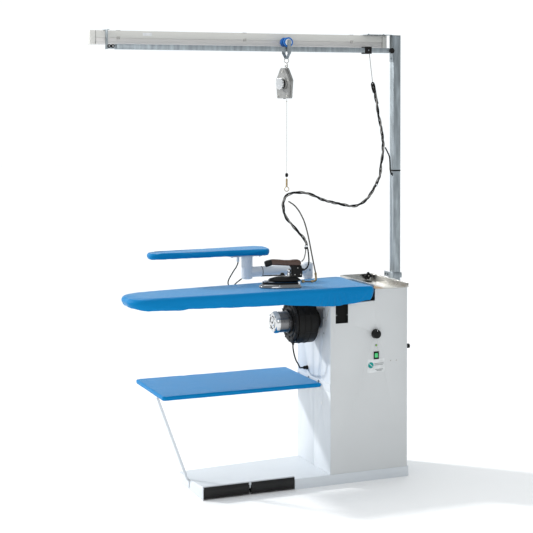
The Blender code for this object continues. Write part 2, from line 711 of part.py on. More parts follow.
# ---------------------------------------------------------------- suction fan
def make_fan():
    """The fan housing under the board, its wheel, its front plate and the motor."""
    volute = plate([circle(FAN_Y, FAN_Z, FAN_RADIUS, 32)], "YZ", FAN_LEFT, FAN_RIGHT)
    chamber = plate([circle(FAN_Y, FAN_Z, FAN_RADIUS - 0.003, 32)], "YZ",
                    FAN_LEFT - 0.01, FAN_RIGHT - 0.003)
    collar = cylinder((FAN_RIGHT - 0.001, FAN_Y, FAN_Z), (CABINET_LEFT - GAP, FAN_Y, FAN_Z), 0.046)
    inlet = cylinder((FAN_RIGHT - 0.01, FAN_Y, FAN_Z), (CABINET_LEFT + 0.02, FAN_Y, FAN_Z), 0.040)
    neck = box((-0.540, FAN_Y - 0.025, FAN_Z + 0.09), (-0.490, FAN_Y + 0.025, PAN_BOTTOM - GAP))
    throat = box((-0.538, FAN_Y - 0.023, FAN_Z + 0.08), (-0.492, FAN_Y + 0.023, PAN_BOTTOM + 0.01))
    nub = cylinder((-0.556, FAN_Y, FAN_Z - FAN_RADIUS - 0.009),
                   (-0.556, FAN_Y, FAN_Z - FAN_RADIUS + 0.002), 0.006, 12)
    fuse(volute, collar, neck)
    cut(volute, chamber, inlet, throat)
    fuse(volute, nub)
    file_part(volute, "fan_volute", "black_plastic")
    front = plate([circle(FAN_Y, FAN_Z, FAN_RADIUS - 0.006, 32), circle(FAN_Y, FAN_Z, 0.0055, 16)],
                  "YZ", FAN_LEFT - 0.014, FAN_LEFT - GAP)
    file_part(front, "fan_front_plate", "black_plastic")
    make_impeller()
    make_motor()


def make_impeller():
    """A paddle wheel on the motor's shaft."""
    paddles = []
    for blade in range(8):
        middle = 2 * math.pi * blade / 8
        for turn, reach in ((-0.20, 0.016), (-0.030, 0.070), (0.030, 0.070), (0.20, 0.016)):
            angle = middle + turn
            paddles.append((FAN_Y + reach * math.cos(angle), FAN_Z + reach * math.sin(angle)))
    wheel = plate([paddles], "YZ", -0.548, -0.500)
    disc = cylinder((-0.552, FAN_Y, FAN_Z), (-0.546, FAN_Y, FAN_Z), 0.074, 32)
    shaft = cylinder((MOTOR_LEFT + 0.060, FAN_Y, FAN_Z), (-0.520, FAN_Y, FAN_Z), 0.004, 12)
    fuse(wheel, disc, shaft)
    file_part(wheel, "impeller", "cast_alloy")
    set_origin(wheel, (-0.52, FAN_Y, FAN_Z))


def make_motor():
    """The motor: a steel can with a domed cap, bored for the shaft's end."""
    length = FAN_LEFT - 0.014 - GAP - MOTOR_LEFT
    can = solid_turned([(0.0, length), (0.046, length), (0.050, length - 0.003),
                        (0.050, length - 0.014), (0.054, length - 0.016), (0.054, 0.004),
                        (0.050, 0.0), (0.0, 0.0)],
                       (MOTOR_LEFT + length, FAN_Y, FAN_Z), (-1, 0, 0), 28)
    bore = cylinder((MOTOR_LEFT + 0.055, FAN_Y, FAN_Z), (FAN_LEFT, FAN_Y, FAN_Z), 0.0055, 16)
    cut(can, bore)
    file_part(can, "motor_body", "stainless")
    lead = tube(MOTOR_LEAD_ROUTE, 0.0035, 0.008)
    file_part(lead, "motor_lead", "black_rubber")


# ---------------------------------------------------------------- sleeve board
def make_arm_column():
    """The fixed pivot column on the cabinet's back, with its two brackets and its collar."""
    column = cylinder((ARM_X, ARM_Y, 0.780), (ARM_X, ARM_Y, 1.037), COLUMN_RADIUS)
    collar = cylinder((ARM_X, ARM_Y, 0.955), (ARM_X, ARM_Y, 0.9697), 0.0265)
    for low in (0.800, 0.890):
        block = box((ARM_X - 0.022, CABINET_DEPTH + GAP, low), (ARM_X + 0.022, ARM_Y, low + 0.035))
        fuse(column, block)
    fuse(column, collar)
    file_part(column, "arm_column", "white_paint")


def make_sleeve_arm():
    """The swinging arm pipe with its hub, and the elbow that carries the sleeve board."""
    arm_end = RISER_X + 0.078
    hub = cylinder((ARM_X, ARM_Y, 0.970), (ARM_X, ARM_Y, 1.031), 0.027)
    pipe = cylinder((arm_end, ARM_Y, ARM_Z), (ARM_X, ARM_Y, ARM_Z), ARM_RADIUS)
    inside = cylinder((arm_end - 0.01, ARM_Y, ARM_Z), (ARM_X - 0.024, ARM_Y, ARM_Z), ARM_RADIUS - SHEET)
    bore = cylinder((ARM_X, ARM_Y, 0.95), (ARM_X, ARM_Y, 1.05), COLUMN_RADIUS + 0.0004)
    fuse(hub, pipe)
    cut(hub, inside, bore)
    file_part(hub, "sleeve_arm", "white_paint")
    set_origin(hub, (ARM_X, ARM_Y, ARM_Z))
    riser = cylinder((RISER_X, ARM_Y, 0.966), (RISER_X, ARM_Y, 1.0872), 0.0285)
    bevel(riser, 0.004)
    stub = cylinder((RISER_X, ARM_Y, ARM_Z), (arm_end - GAP, ARM_Y, ARM_Z), ARM_RADIUS)
    table = box((RISER_X - 0.10, ARM_Y - 0.035, 1.0825), (RISER_X + 0.07, ARM_Y + 0.035, 1.0877))
    socket = cylinder((-0.748, 0.412, 1.055), (-0.748, 0.412, 1.084), 0.007, 12)
    shaft = cylinder((RISER_X, ARM_Y, 0.970), (RISER_X, ARM_Y, 1.10), 0.0245)
    stub_hollow = cylinder((RISER_X, ARM_Y, ARM_Z), (arm_end + 0.01, ARM_Y, ARM_Z), 0.0225)
    fuse(riser, stub, table, socket)
    cut(riser, shaft, stub_hollow)
    file_part(riser, "sleeve_riser", "white_paint")
    lead = tube(SLEEVE_LEAD_ROUTE, 0.003, 0.0075)
    file_part(lead, "sleeve_lead", "black_rubber")


def make_sleeve_cover():
    right = SLEEVE_RIGHT
    left = SLEEVE_RIGHT - SLEEVE_LENGTH
    outline = rounded([(right, SLEEVE_FRONT, 0.030), (right, SLEEVE_FRONT + SLEEVE_WIDTH, 0.060),
                       (left, SLEEVE_FRONT + SLEEVE_TIP_WIDTH, 0.045), (left, SLEEVE_FRONT, 0.045)])
    cover = plate([outline], "XY", SLEEVE_HEM, SLEEVE_TOP)
    bevel(cover, 0.006, 1, 60)
    file_part(cover, "sleeve_cover", "blue_cloth")


# ---------------------------------------------------------------- shelf
def make_shelf():
    """The cloth-covered shelf, its wall bracket and its slanted brace."""
    bracket = plate([[(CABINET_LEFT - GAP - SHEET, 0.452), (CABINET_LEFT - GAP, 0.452),
                      (CABINET_LEFT - GAP, 0.492), (CABINET_LEFT - GAP - SHEET, 0.492)]],
                    "XZ", 0.0, CABINET_DEPTH)
    leg = box((-0.462, 0.110, SHELF_HEM - 0.0023), (CABINET_LEFT - 0.001, 0.380, SHELF_HEM - GAP))
    fuse(bracket, leg)
    file_part(bracket, "shelf_bracket", "white_paint")
    deck_low = SHELF_HEM + 0.004
    deck = box((SHELF_LEFT + 0.010, SHELF_FRONT + 0.008, deck_low),
               (SHELF_RIGHT - 0.006, SHELF_BACK - 0.008, deck_low + 0.010))
    file_part(deck, "shelf_panel", "white_paint")
    cover = plate([rounded([(SHELF_RIGHT, SHELF_FRONT, 0.008), (SHELF_RIGHT, SHELF_BACK, 0.008),
                            (SHELF_LEFT, SHELF_BACK, 0.020), (SHELF_LEFT, SHELF_FRONT, 0.020)], 3)],
                  "XY", SHELF_HEM, SHELF_TOP)
    bevel(cover, 0.004, 1, 60)
    pocket = box((SHELF_LEFT + 0.010 - GAP, SHELF_FRONT + 0.008 - GAP, deck_low - GAP),
                 (SHELF_RIGHT - 0.006 + GAP, SHELF_BACK - 0.008 + GAP, deck_low + 0.010 + GAP))
    opening = box((SHELF_LEFT + 0.030, SHELF_FRONT + 0.030, SHELF_HEM - 0.01),
                  (SHELF_RIGHT - 0.030, SHELF_BACK - 0.030, deck_low + 0.002))
    cut(cover, pocket, opening)
    file_part(cover, "shelf_cover", "blue_cloth")
    wall = -BASE_LENGTH - GAP
    top = -1.237
    bar = strip([(wall, 0.010), (wall, 0.044), (top, 0.4545), (-1.185, 0.4545)], 0.0035)
    stay = [(wall - 0.001, 0.046), (top - 0.001, 0.4545), (top - BRACE_WIDTH, 0.4545),
            (wall - BRACE_WIDTH, 0.046)]
    brace = plate([bar], "XZ", 0.188, 0.209)
    fuse(brace, plate([stay], "XZ", 0.188, 0.209))
    file_part(brace, "shelf_brace", "white_paint")


# ---------------------------------------------------------------- gantry
def make_post():
    """The square tube upright and the clamp that holds it on the cabinet's right wall."""
    right = POST_LEFT + POST_SIZE
    front = GANTRY_Y - POST_SIZE / 2
    back = GANTRY_Y + POST_SIZE / 2
    post = box((POST_LEFT, front, POST_BOTTOM), (right, back, POST_TOP))
    inside = box((POST_LEFT + SHEET, front + SHEET, POST_BOTTOM - 0.01),
                 (right - SHEET, back - SHEET, POST_TOP + 0.01))
    entry = cylinder((POST_LEFT - 0.01, 0.185, 1.490), (POST_LEFT + 0.01, 0.185, 1.490), 0.008, 16)
    cut(post, inside, entry)
    file_part(post, "post", "galvanised")
    plate_left = GAP
    plate_right = POST_LEFT - GAP
    ears = [[(front - 0.006, 0.700), (back + 0.006, 0.700), (back + 0.006, 0.9655),
             (0.262, 0.9655), (0.262, 0.992), (front - 0.006, 0.992)],
            circle(0.222, 0.9785, 0.004, 12), circle(0.245, 0.9785, 0.004, 12)]
    clamp = plate(ears, "YZ", plate_left, plate_right)
    spacer = box((CABINET_RIGHT + GAP, front, 0.720), (plate_left + 0.001, back, 0.930))
    fuse(clamp, spacer)
    bores = []
    for low, high in ((0.705, 0.745), (0.966, 0.9915)):
        collar = box((plate_left + 0.001, front - 0.005, low), (right + 0.006, back + 0.005, high))
        fuse(clamp, collar)
        bores.append(box((plate_right, front - GAP, low - 0.01), (right + GAP, back + GAP, high + 0.01)))
    cut(clamp, *bores)
    file_part(clamp, "post_clamp", "galvanised")
    lead = tube(POST_LEAD_ROUTE, 0.0035, 0.009)
    file_part(lead, "post_lead", "black_rubber")


def make_rail():
    """The trolley rail, slotted below, and the brackets and stop at its ends."""
    front = GANTRY_Y - RAIL_DEPTH / 2
    back = GANTRY_Y + RAIL_DEPTH / 2
    rail = box((RAIL_LEFT, front, RAIL_BOTTOM), (0.0, back, RAIL_TOP))
    inside = box((RAIL_LEFT - 0.01, front + SHEET, RAIL_BOTTOM + SHEET),
                 (0.01, back - SHEET, RAIL_TOP - SHEET))
    slot = box((RAIL_LEFT - 0.01, GANTRY_Y - 0.006, RAIL_BOTTOM - 0.01),
               (0.01, GANTRY_Y + 0.006, RAIL_BOTTOM + 0.005))
    cut(rail, inside, slot)
    file_part(rail, "rail", "galvanised")
    head = plate([oblong(front, back, 2.064, LAMP_TOP + 0.0025), circle(GANTRY_Y, 2.078, 0.004, 12)],
                 "YZ", GAP, POST_LEFT - GAP)
    tongue = box((-0.060, front + 0.0025, RAIL_BOTTOM + 0.0025), (0.001, back - 0.0025, RAIL_TOP - 0.0025))
    arm = box((-0.135, front + 0.010, LAMP_TOP + GAP), (0.003, LAMP_FRONT + 0.030, LAMP_TOP + 0.0025))
    fuse(head, tongue, arm)
    file_part(head, "rail_head_bracket", "galvanised")
    strap_x = RAIL_LEFT - 0.045
    strap = box((strap_x, front, RAIL_BOTTOM), (strap_x + 0.0035, back, LAMP_TOP + 0.0025))
    plug = box((strap_x + 0.001, front + 0.0025, RAIL_BOTTOM + 0.0025),
               (RAIL_LEFT + 0.060, back - 0.0025, RAIL_TOP - 0.0025))
    over = box((strap_x, front + 0.010, LAMP_TOP + GAP),
               (strap_x + 0.014, LAMP_FRONT + LAMP_DEPTH + 0.004, LAMP_TOP + 0.0025))
    fuse(strap, plug, over)
    file_part(strap, "rail_end_bracket", "galvanised")
    stop = box((-0.157, front - 0.006, RAIL_BOTTOM - 0.006), (-0.121, back + 0.006, RAIL_TOP + 0.006))
    bore = box((-0.17, front - GAP, RAIL_BOTTOM - GAP), (-0.11, back + GAP, RAIL_TOP + GAP))
    cut(stop, bore)
    file_part(stop, "rail_stop", "black_rubber")
    hanger = tube(LOOP_CORD_ROUTE, 0.0015, 0.006)
    file_part(hanger, "loop_cord", "grey_braid")


def make_lamp():
    """The batten lamp behind the rail: a steel housing with end caps, and its diffuser."""
    back = LAMP_FRONT + LAMP_DEPTH
    bay_left = LAMP_LEFT + LAMP_CAP
    housing = box((LAMP_LEFT, LAMP_FRONT, LAMP_BOTTOM), (0.0, back, LAMP_TOP))
    bay = box((bay_left, LAMP_FRONT - 0.01, LAMP_BOTTOM - 0.01), (-LAMP_CAP, back + 0.01, LAMP_SPLIT))
    gear = box((bay_left, LAMP_FRONT + SHEET, LAMP_SPLIT - 0.01),
               (-LAMP_CAP, back - SHEET, LAMP_TOP - SHEET))
    cut(housing, bay, gear)
    file_part(housing, "lamp_housing", "lamp_grey")
    near = LAMP_FRONT + 0.001
    far = back - 0.001
    brim = LAMP_SPLIT - GAP
    section = rounded([(near, brim, 0.0005), (near, LAMP_BOTTOM, 0.014),
                       (far, LAMP_BOTTOM, 0.014), (far, brim, 0.0005)], 3)
    bowl = plate([section], "YZ", bay_left + GAP, -LAMP_CAP - GAP)
    hollow = box((bay_left + SHEET, LAMP_FRONT + 0.004, LAMP_BOTTOM + 0.006),
                 (-LAMP_CAP - SHEET, back - 0.004, LAMP_SPLIT + 0.01))
    cut(bowl, hollow)
    file_part(bowl, "lamp_diffuser", "lamp_diffuser")


# ---------------------------------------------------------------- trolley and balancer
AXLE_Z = RAIL_TOP + WHEEL_TREAD + GAP


def make_trolley():
    """Two flanged wheels on one axle, and the frame that hangs from it under the rail."""
    half = 0.0325
    sides = strip([(GANTRY_Y - half, AXLE_Z + 0.016), (GANTRY_Y - half, 2.098), (GANTRY_Y - 0.006, 2.0735),
                   (GANTRY_Y + 0.006, 2.0735), (GANTRY_Y + half, 2.098), (GANTRY_Y + half, AXLE_Z + 0.016)],
                  0.003)
    frame = plate([sides], "YZ", TROLLEY_X - 0.007, TROLLEY_X + 0.007)
    hole = cylinder((TROLLEY_X, GANTRY_Y - 0.05, AXLE_Z), (TROLLEY_X, GANTRY_Y + 0.05, AXLE_Z), 0.0044, 16)
    cut(frame, hole)
    upper = ring((TROLLEY_X, GANTRY_Y, 2.0625), 0.0115, 0.0022)
    lower = ring((TROLLEY_X, GANTRY_Y, 2.0405), 0.0105, 0.0022, (math.pi / 2, 0, math.pi / 5))
    fuse(frame, upper, lower)
    file_part(frame, "trolley_frame", "galvanised")
    wheels = solid_turned([
        (0.0, half + 0.006), (0.004, half + 0.006), (0.004, 0.0265), (0.0245, 0.0265), (0.0245, 0.0185),
        (WHEEL_TREAD, 0.0183), (WHEEL_TREAD, 0.008), (0.004, 0.008), (0.004, -0.008),
        (WHEEL_TREAD, -0.008), (WHEEL_TREAD, -0.0183), (0.0245, -0.0185), (0.0245, -0.0265),
        (0.004, -0.0265), (0.004, -half - 0.006), (0.0, -half - 0.006)],
        (TROLLEY_X, GANTRY_Y, AXLE_Z), (0, -1, 0), 24)
    file_part(wheels, "trolley_wheels", "nylon")
    set_origin(wheels, (TROLLEY_X, GANTRY_Y, AXLE_Z))


def make_balancer():
    """The spring balancer: a flat cast body, turned a little, with its tension knob."""
    turn = Matrix.Translation((BALANCER_X, GANTRY_Y, 0)) @ Matrix.Rotation(BALANCER_TURN, 4, "Z")
    section = rounded([(-0.045, 1.875, 0.006), (0.045, 1.875, 0.006), (0.054, 1.968, 0.030),
                       (0.017, 2.0275, 0.010), (-0.017, 2.0275, 0.010), (-0.054, 1.968, 0.030)], 3)
    body = plate([section], "YZ", -0.014, 0.014)
    neck = cylinder((-0.013, 0, KNOB_Z), (-0.0165, 0, KNOB_Z), 0.034)
    fuse(body, neck)
    lobes = []
    for step in range(48):
        angle = 2 * math.pi * step / 48
        reach = 0.029 + 0.0015 * math.cos(12 * angle)
        lobes.append((reach * math.cos(angle), KNOB_Z + reach * math.sin(angle)))
    knob = plate([lobes], "YZ", -0.034, -0.024)
    boss = cylinder((-0.026, 0, KNOB_Z), (-0.0168, 0, KNOB_Z), 0.022)
    fuse(knob, boss)
    move((body, neck, knob, boss), turn)
    file_part(body, "balancer_body", "cast_alloy")
    file_part(knob, "balancer_knob", "cast_alloy")
    set_origin(knob, turn @ Vector((-0.029, 0, KNOB_Z)))


def make_balancer_wire():
    """The steel wire from the balancer, with its clip and the ring that holds the cables."""
    rope = solid_turned([(0.0, 1.8745), (0.0013, 1.8745), (0.0013, 1.482), (0.0045, 1.480),
                         (0.0050, 1.474), (0.0050, 1.446), (0.0030, 1.441), (0.0, 1.441)],
                        (WIRE_X, GANTRY_Y, 0), (0, 0, 1), 10)
    eye = ring((WIRE_X, GANTRY_Y, 1.4310), 0.0115, 0.0018)
    fuse(rope, eye)
    file_part(rope, "balancer_wire", "stainless")


def make_iron_cords():
    """The twisted bundle of cables, its two tails and the steam hose."""
    file_part(tube(BUNDLE_ROUTE, 0.0065, 0.020, 2), "cable_bundle", "black_rubber")
    file_part(tube(BLACK_TAIL_ROUTE, 0.0035, 0.008), "iron_cable_tail", "black_rubber")
    file_part(tube(GREY_TAIL_ROUTE, 0.0030, 0.007), "handle_lead_tail", "grey_braid")
    file_part(tube(HOSE_ROUTE, 0.0035, 0.010), "steam_hose", "grey_braid")


# ---------------------------------------------------------------- hand iron
def sole_outline(length, half_width, start, front_shape=0.62):
    """A flat-iron outline: a pointed front that swells to its full width, a square back."""
    side = []
    steps = 8
    for step in range(1, steps + 1):
        share = step / steps
        swell = math.sin(share * math.pi / 2) ** front_shape
        along = start + 0.72 * (length - start) * (1 - math.cos(share * math.pi / 2))
        side.append((along, half_width * swell))
    side.append((length - 0.008, half_width * 0.97))
    side.append((length, half_width * 0.97 - 0.008))
    return [(start, 0.0), *[(x, -y) for x, y in side], *reversed(side)]


def make_iron():
    """The hand iron, built along its own X from its tip and then set on the board."""
    sole = plate([sole_outline(IRON_LENGTH, 0.057, 0.0)], "XY", 0.0, 0.018)
    skirt = plate([sole_outline(IRON_LENGTH - 0.006, 0.052, 0.014)], "XY", 0.0175, 0.028)
    tools = [skirt]
    for x, y in ((0.060, 0.0), (0.180, -0.030), (0.180, 0.030)):
        tools.append(cylinder((x, y, 0.027), (x, y, 0.034), 0.005, 12))
    fuse(sole, *tools)
    deck = plate([sole_outline(0.198, 0.045, 0.048)], "XY", 0.0343, 0.052)
    housing = box((0.160, -0.022, 0.050), (0.212, 0.022, 0.1036))
    bevel(housing, 0.006, 2)
    dome = cylinder((0.146, 0, 0.050), (0.146, 0, 0.088), 0.0095, 16)
    fuse(deck, housing, dome)
    grip = box((0.026, -0.0165, 0.1040), (0.202, 0.0165, 0.1370))
    bevel(grip, 0.011, 3)
    nose = box((0.026, -0.0155, 0.0980), (0.062, 0.0155, 0.130))
    bevel(nose, 0.008, 2)
    fuse(grip, nose)
    lever = plate([[(0.016, 0.0), (0.050, -0.008), (0.126, -0.009), (0.126, 0.009), (0.050, 0.008)]],
                  "XY", 0.0575, 0.0600)
    thumb = box((0.106, -0.007, 0.0595), (0.122, 0.007, 0.0700))
    fuse(lever, thumb)
    stand = Matrix.Translation(IRON_TIP) @ Matrix.Rotation(IRON_TURN, 4, "Z")
    move((sole, *tools, deck, housing, dome, grip, nose, lever, thumb), stand)
    file_part(sole, "iron_sole", "stainless")
    file_part(deck, "iron_body", "black_plastic")
    file_part(grip, "iron_handle", "dark_wood")
    file_part(lever, "iron_lever", "black_plastic")
    set_origin(lever, stand @ Vector((0.124, 0, 0.0588)))


def centre_on_footprint():
    """Move every part and every tool so that the footprint's middle is the origin."""
    move([*PARTS.objects, *CUTTERS.objects], Matrix.Translation(-FOOTPRINT_MIDDLE))


clear_scene()
PARTS = new_collection("steam_ironing_table")
CUTTERS = new_collection("cutters")
make_base()
make_pedals()
make_front_panel()
make_side_panels()
make_tray()
make_star_knob()
make_controls()
make_fittings()
make_steam_unit()
make_board()
make_fan()
make_arm_column()
make_sleeve_arm()
make_sleeve_cover()
make_shelf()
make_post()
make_rail()
make_lamp()
make_trolley()
make_balancer()
make_balancer_wire()
make_iron_cords()
make_iron()
centre_on_footprint()
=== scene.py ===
"""The looks of the vacuum ironing table: cloth covers, cords, small fittings and materials
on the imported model's frame. Places are metres from the right front corner of the base."""
import json
import math

import bmesh
import bpy
from mathutils import Matrix, Vector, noise


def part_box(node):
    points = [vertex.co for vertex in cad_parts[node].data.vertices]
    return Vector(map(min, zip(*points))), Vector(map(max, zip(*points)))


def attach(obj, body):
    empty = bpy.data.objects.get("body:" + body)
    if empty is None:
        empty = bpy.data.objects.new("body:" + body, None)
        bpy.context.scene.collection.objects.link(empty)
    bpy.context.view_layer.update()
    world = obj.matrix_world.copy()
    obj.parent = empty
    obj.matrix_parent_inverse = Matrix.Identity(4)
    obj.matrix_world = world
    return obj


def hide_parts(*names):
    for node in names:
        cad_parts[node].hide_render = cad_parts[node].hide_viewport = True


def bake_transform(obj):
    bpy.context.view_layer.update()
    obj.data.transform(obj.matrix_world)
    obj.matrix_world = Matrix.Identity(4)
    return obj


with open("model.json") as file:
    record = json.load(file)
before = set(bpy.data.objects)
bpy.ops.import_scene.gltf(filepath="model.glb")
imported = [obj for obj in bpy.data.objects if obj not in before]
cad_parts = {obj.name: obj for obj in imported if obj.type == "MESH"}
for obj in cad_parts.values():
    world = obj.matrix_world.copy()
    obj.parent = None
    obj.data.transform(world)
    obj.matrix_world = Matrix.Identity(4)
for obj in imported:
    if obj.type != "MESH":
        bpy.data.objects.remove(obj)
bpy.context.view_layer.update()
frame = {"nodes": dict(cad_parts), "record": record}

CORNER = Vector((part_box("base_tray")[1][0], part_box("base_tray")[0][1], 0.0))
IRON_TURN = math.radians(-11.0)
BALANCER_TURN = math.radians(13.0)
BOARD_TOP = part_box("board_cover")[1][2]
SLEEVE_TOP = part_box("sleeve_cover")[1][2]
SHELF_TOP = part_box("shelf_cover")[1][2]
RAIL_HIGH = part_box("rail")[1][2]

# the cords' routes, point for point as in the CAD model
BUNDLE_ROUTE = [
    (-0.106, 0.190, 1.950), (-0.089, 0.190, 1.898), (-0.075, 0.190, 1.812),
    (-0.047, 0.190, 1.677), (-0.044, 0.190, 1.628), (-0.057, 0.190, 1.536),
    (-0.066, 0.190, 1.480), (-0.108, 0.190, 1.402), (-0.160, 0.190, 1.353),
    (-0.211, 0.190, 1.336), (-0.305, 0.190, 1.352), (-0.392, 0.190, 1.378),
    (-0.471, 0.190, 1.408), (-0.543, 0.190, 1.410), (-0.582, 0.187, 1.396),
    (-0.601, 0.182, 1.356), (-0.587, 0.170, 1.292), (-0.539, 0.140, 1.226),
    (-0.512, 0.118, 1.185), (-0.506, 0.109, 1.150),
]
BLACK_TAIL_ROUTE = [
    (-0.500, 0.108, 1.142), (-0.498, 0.103, 1.110), (-0.498, 0.100, 1.080),
    (-0.506, 0.099, 1.054), (-0.526, 0.097, 1.040),
]
GREY_TAIL_ROUTE = [
    (-0.511, 0.108, 1.142), (-0.515, 0.105, 1.118), (-0.524, 0.102, 1.094),
    (-0.537, 0.099, 1.082),
]
HOSE_ROUTE = [
    (-0.573, 0.176, 1.371), (-0.545, 0.172, 1.352), (-0.523, 0.168, 1.326),
    (-0.508, 0.160, 1.296), (-0.496, 0.152, 1.262), (-0.484, 0.141, 1.205),
    (-0.475, 0.129, 1.140), (-0.467, 0.118, 1.080), (-0.459, 0.106, 1.020),
    (-0.461, 0.099, 0.990), (-0.484, 0.096, 0.982), (-0.526, 0.0945, 0.985),
]
SLEEVE_LEAD_ROUTE = [
    (-0.748, 0.412, 1.0543), (-0.7495, 0.412, 1.045), (-0.758, 0.414, 1.027),
    (-0.777, 0.416, 0.999), (-0.797, 0.416, 0.965), (-0.799, 0.416, 0.944), (-0.789, 0.416, 0.929),
    (-0.773, 0.416, 0.933), (-0.752, 0.416, 0.951), (-0.727, 0.416, 0.968),
]
MOTOR_LEAD_ROUTE = [
    (-0.556, 0.160, 0.6655), (-0.556, 0.160, 0.650), (-0.547, 0.165, 0.615),
    (-0.532, 0.178, 0.585), (-0.508, 0.204, 0.558), (-0.488, 0.235, 0.538),
    (-0.472, 0.264, 0.527), (-0.4532, 0.270, 0.5246),
]
POST_LEAD_ROUTE = [
    (-0.0325, 0.190, 1.628), (-0.023, 0.189, 1.610), (-0.010, 0.188, 1.582),
    (-0.007, 0.187, 1.550), (-0.006, 0.186, 1.515), (0.0005, 0.185, 1.490),
]
LOOP_CORD_ROUTE = [
    (-0.123, 0.190, 2.1005), (-0.119, 0.190, 2.070), (-0.113, 0.190, 2.020),
    (-0.107, 0.190, 1.975), (-0.106, 0.190, 1.9575),
]
RING_SHARE = 0.735
CORD_RADIUS = 0.0036
THIN_CORD_RADIUS = 0.0031

RIGHT, LEFT = (1, 0, 0), (-1, 0, 0)
BACK, FRONT = (0, 1, 0), (0, -1, 0)
UP, DOWN = (0, 0, 1), (0, 0, -1)
WORLD = Matrix.Identity(4)
ON_CORNER = Matrix.Translation(CORNER)


def at(x, y, z):
    """A point given from the base's right front corner, in the model's frame."""
    return CORNER + Vector((x, y, z))


# ---------------------------------------------------------------- node materials
class Finish:
    """A Principled material being made, with its textures in the piece's own metres."""

    def __init__(self, name, colour, roughness, metallic=0.0, coat=0.0, sheen=0.0):
        self.material = bpy.data.materials.new(name)
        self.material.use_nodes = True
        self.tree = self.material.node_tree
        self.shader = self.tree.nodes["Principled BSDF"]
        self.place = self.tree.nodes.new("ShaderNodeTexCoord")
        self.set("Base Color", (*colour, 1.0))
        self.set("Roughness", roughness)
        self.set("Metallic", metallic)
        self.set("Coat Weight", coat)
        self.set("Sheen Weight", sheen)

    def set(self, socket, value):
        self.shader.inputs[socket].default_value = value

    def join(self, output, node, socket):
        self.tree.links.new(output, node.inputs[socket])

    def texture(self, kind, stretch=(1, 1, 1), **values):
        """A procedural texture, stretched where asked."""
        spread = self.tree.nodes.new("ShaderNodeMapping")
        spread.inputs["Scale"].default_value = stretch
        self.join(self.place.outputs["Object"], spread, "Vector")
        made = self.tree.nodes.new("ShaderNodeTex" + kind)
        self.join(spread.outputs["Vector"], made, "Vector")
        for key, value in values.items():
            made.inputs[key.title()].default_value = value
        return made

    def noise(self, scale, detail, stretch=(1, 1, 1), **values):
        return self.texture("Noise", stretch, scale=scale, detail=detail, **values).outputs["Fac"]

    def bands(self, direction, scale, distortion, stretch=(1, 1, 1)):
        made = self.texture("Wave", stretch, scale=scale, distortion=distortion)
        made.wave_type = "BANDS"
        made.bands_direction = direction
        return made.outputs["Fac"]

    def between(self, share, first, second):
        """The base colour, mixed from two by a texture's value."""
        made = self.tree.nodes.new("ShaderNodeMix")
        made.data_type = "RGBA"
        self.join(share, made, "Factor")
        made.inputs[6].default_value = (*first, 1.0)
        made.inputs[7].default_value = (*second, 1.0)
        self.join(made.outputs[2], self.shader, "Base Color")

    def stops(self, share, *stops):
        """The base colour, from a ramp of (position, colour) stops."""
        made = self.tree.nodes.new("ShaderNodeValToRGB")
        self.join(share, made, "Fac")
        elements = made.color_ramp.elements
        while len(elements) < len(stops):
            elements.new(0.5)
        for element, (spot, colour) in zip(elements, stops):
            element.position = spot
            element.color = (*colour, 1.0)
        self.join(made.outputs["Color"], self.shader, "Base Color")

    def rough(self, share, low, high):
        """The roughness, carried to a range from a texture's value."""
        made = self.tree.nodes.new("ShaderNodeMapRange")
        self.join(share, made, "Value")
        made.inputs["To Min"].default_value = low
        made.inputs["To Max"].default_value = high
        self.join(made.outputs["Result"], self.shader, "Roughness")

    def bump(self, height, distance, strength):
        """Fine relief from a texture's value, chained after any earlier relief."""
        made = self.tree.nodes.new("ShaderNodeBump")
        made.inputs["Distance"].default_value = distance
        made.inputs["Strength"].default_value = strength
        self.join(height, made, "Height")
        if self.shader.inputs["Normal"].links:
            self.join(self.shader.inputs["Normal"].links[0].from_socket, made, "Normal")
        self.join(made.outputs["Normal"], self.shader, "Normal")


def tint(colour, factor):
    return tuple(min(1.0, part * factor) for part in colour)


def powder_coat(name, colour, roughness=0.42, grain=900.0):
    """Painted sheet: a faint orange peel, slight cloudiness and scattered dust."""
    paint = Finish(name, colour, roughness, coat=0.08)
    paint.set("Specular IOR Level", 0.30)
    paint.between(paint.noise(5.0, 3.0), tint(colour, 0.965), tint(colour, 1.03))
    paint.rough(paint.noise(26.0, 4.0), roughness - 0.05, roughness + 0.07)
    paint.bump(paint.noise(grain, 2.0), 0.0002, 0.25)
    return paint.material


def cloth(name, deep, light):
    """Board cloth: a fine plain weave, soft sheen and a slightly worn, uneven dye."""
    weave = Finish(name, deep, 0.50, sheen=0.55)
    weave.set("Specular IOR Level", 0.08)
    weave.set("Sheen Roughness", 0.25)
    weave.set("Sheen Tint", (0.75, 0.92, 1.0, 1.0))
    dye = weave.noise(3.2, 5.0, roughness=0.6)
    weave.between(dye, deep, light)
    weave.rough(dye, 0.40, 0.56)
    for direction in "XYZ":
        weave.bump(weave.bands(direction, 330.0, 0.6), 0.00035, 0.22)
    weave.bump(weave.noise(17.0, 4.0, (1.0, 1.6, 2.2), roughness=0.55), 0.0035, 0.35)
    return weave.material


def brushed(name, colour, roughness, along=(1.0, 60.0, 60.0)):
    """Brushed or polished metal with fine scratches along one way."""
    metal = Finish(name, colour, roughness, metallic=1.0)
    lines = metal.noise(22.0, 6.0, along, roughness=0.7)
    metal.between(lines, tint(colour, 0.88), tint(colour, 1.1))
    metal.rough(lines, roughness * 0.7, roughness * 1.5)
    metal.bump(lines, 0.0002, 0.15)
    return metal.material


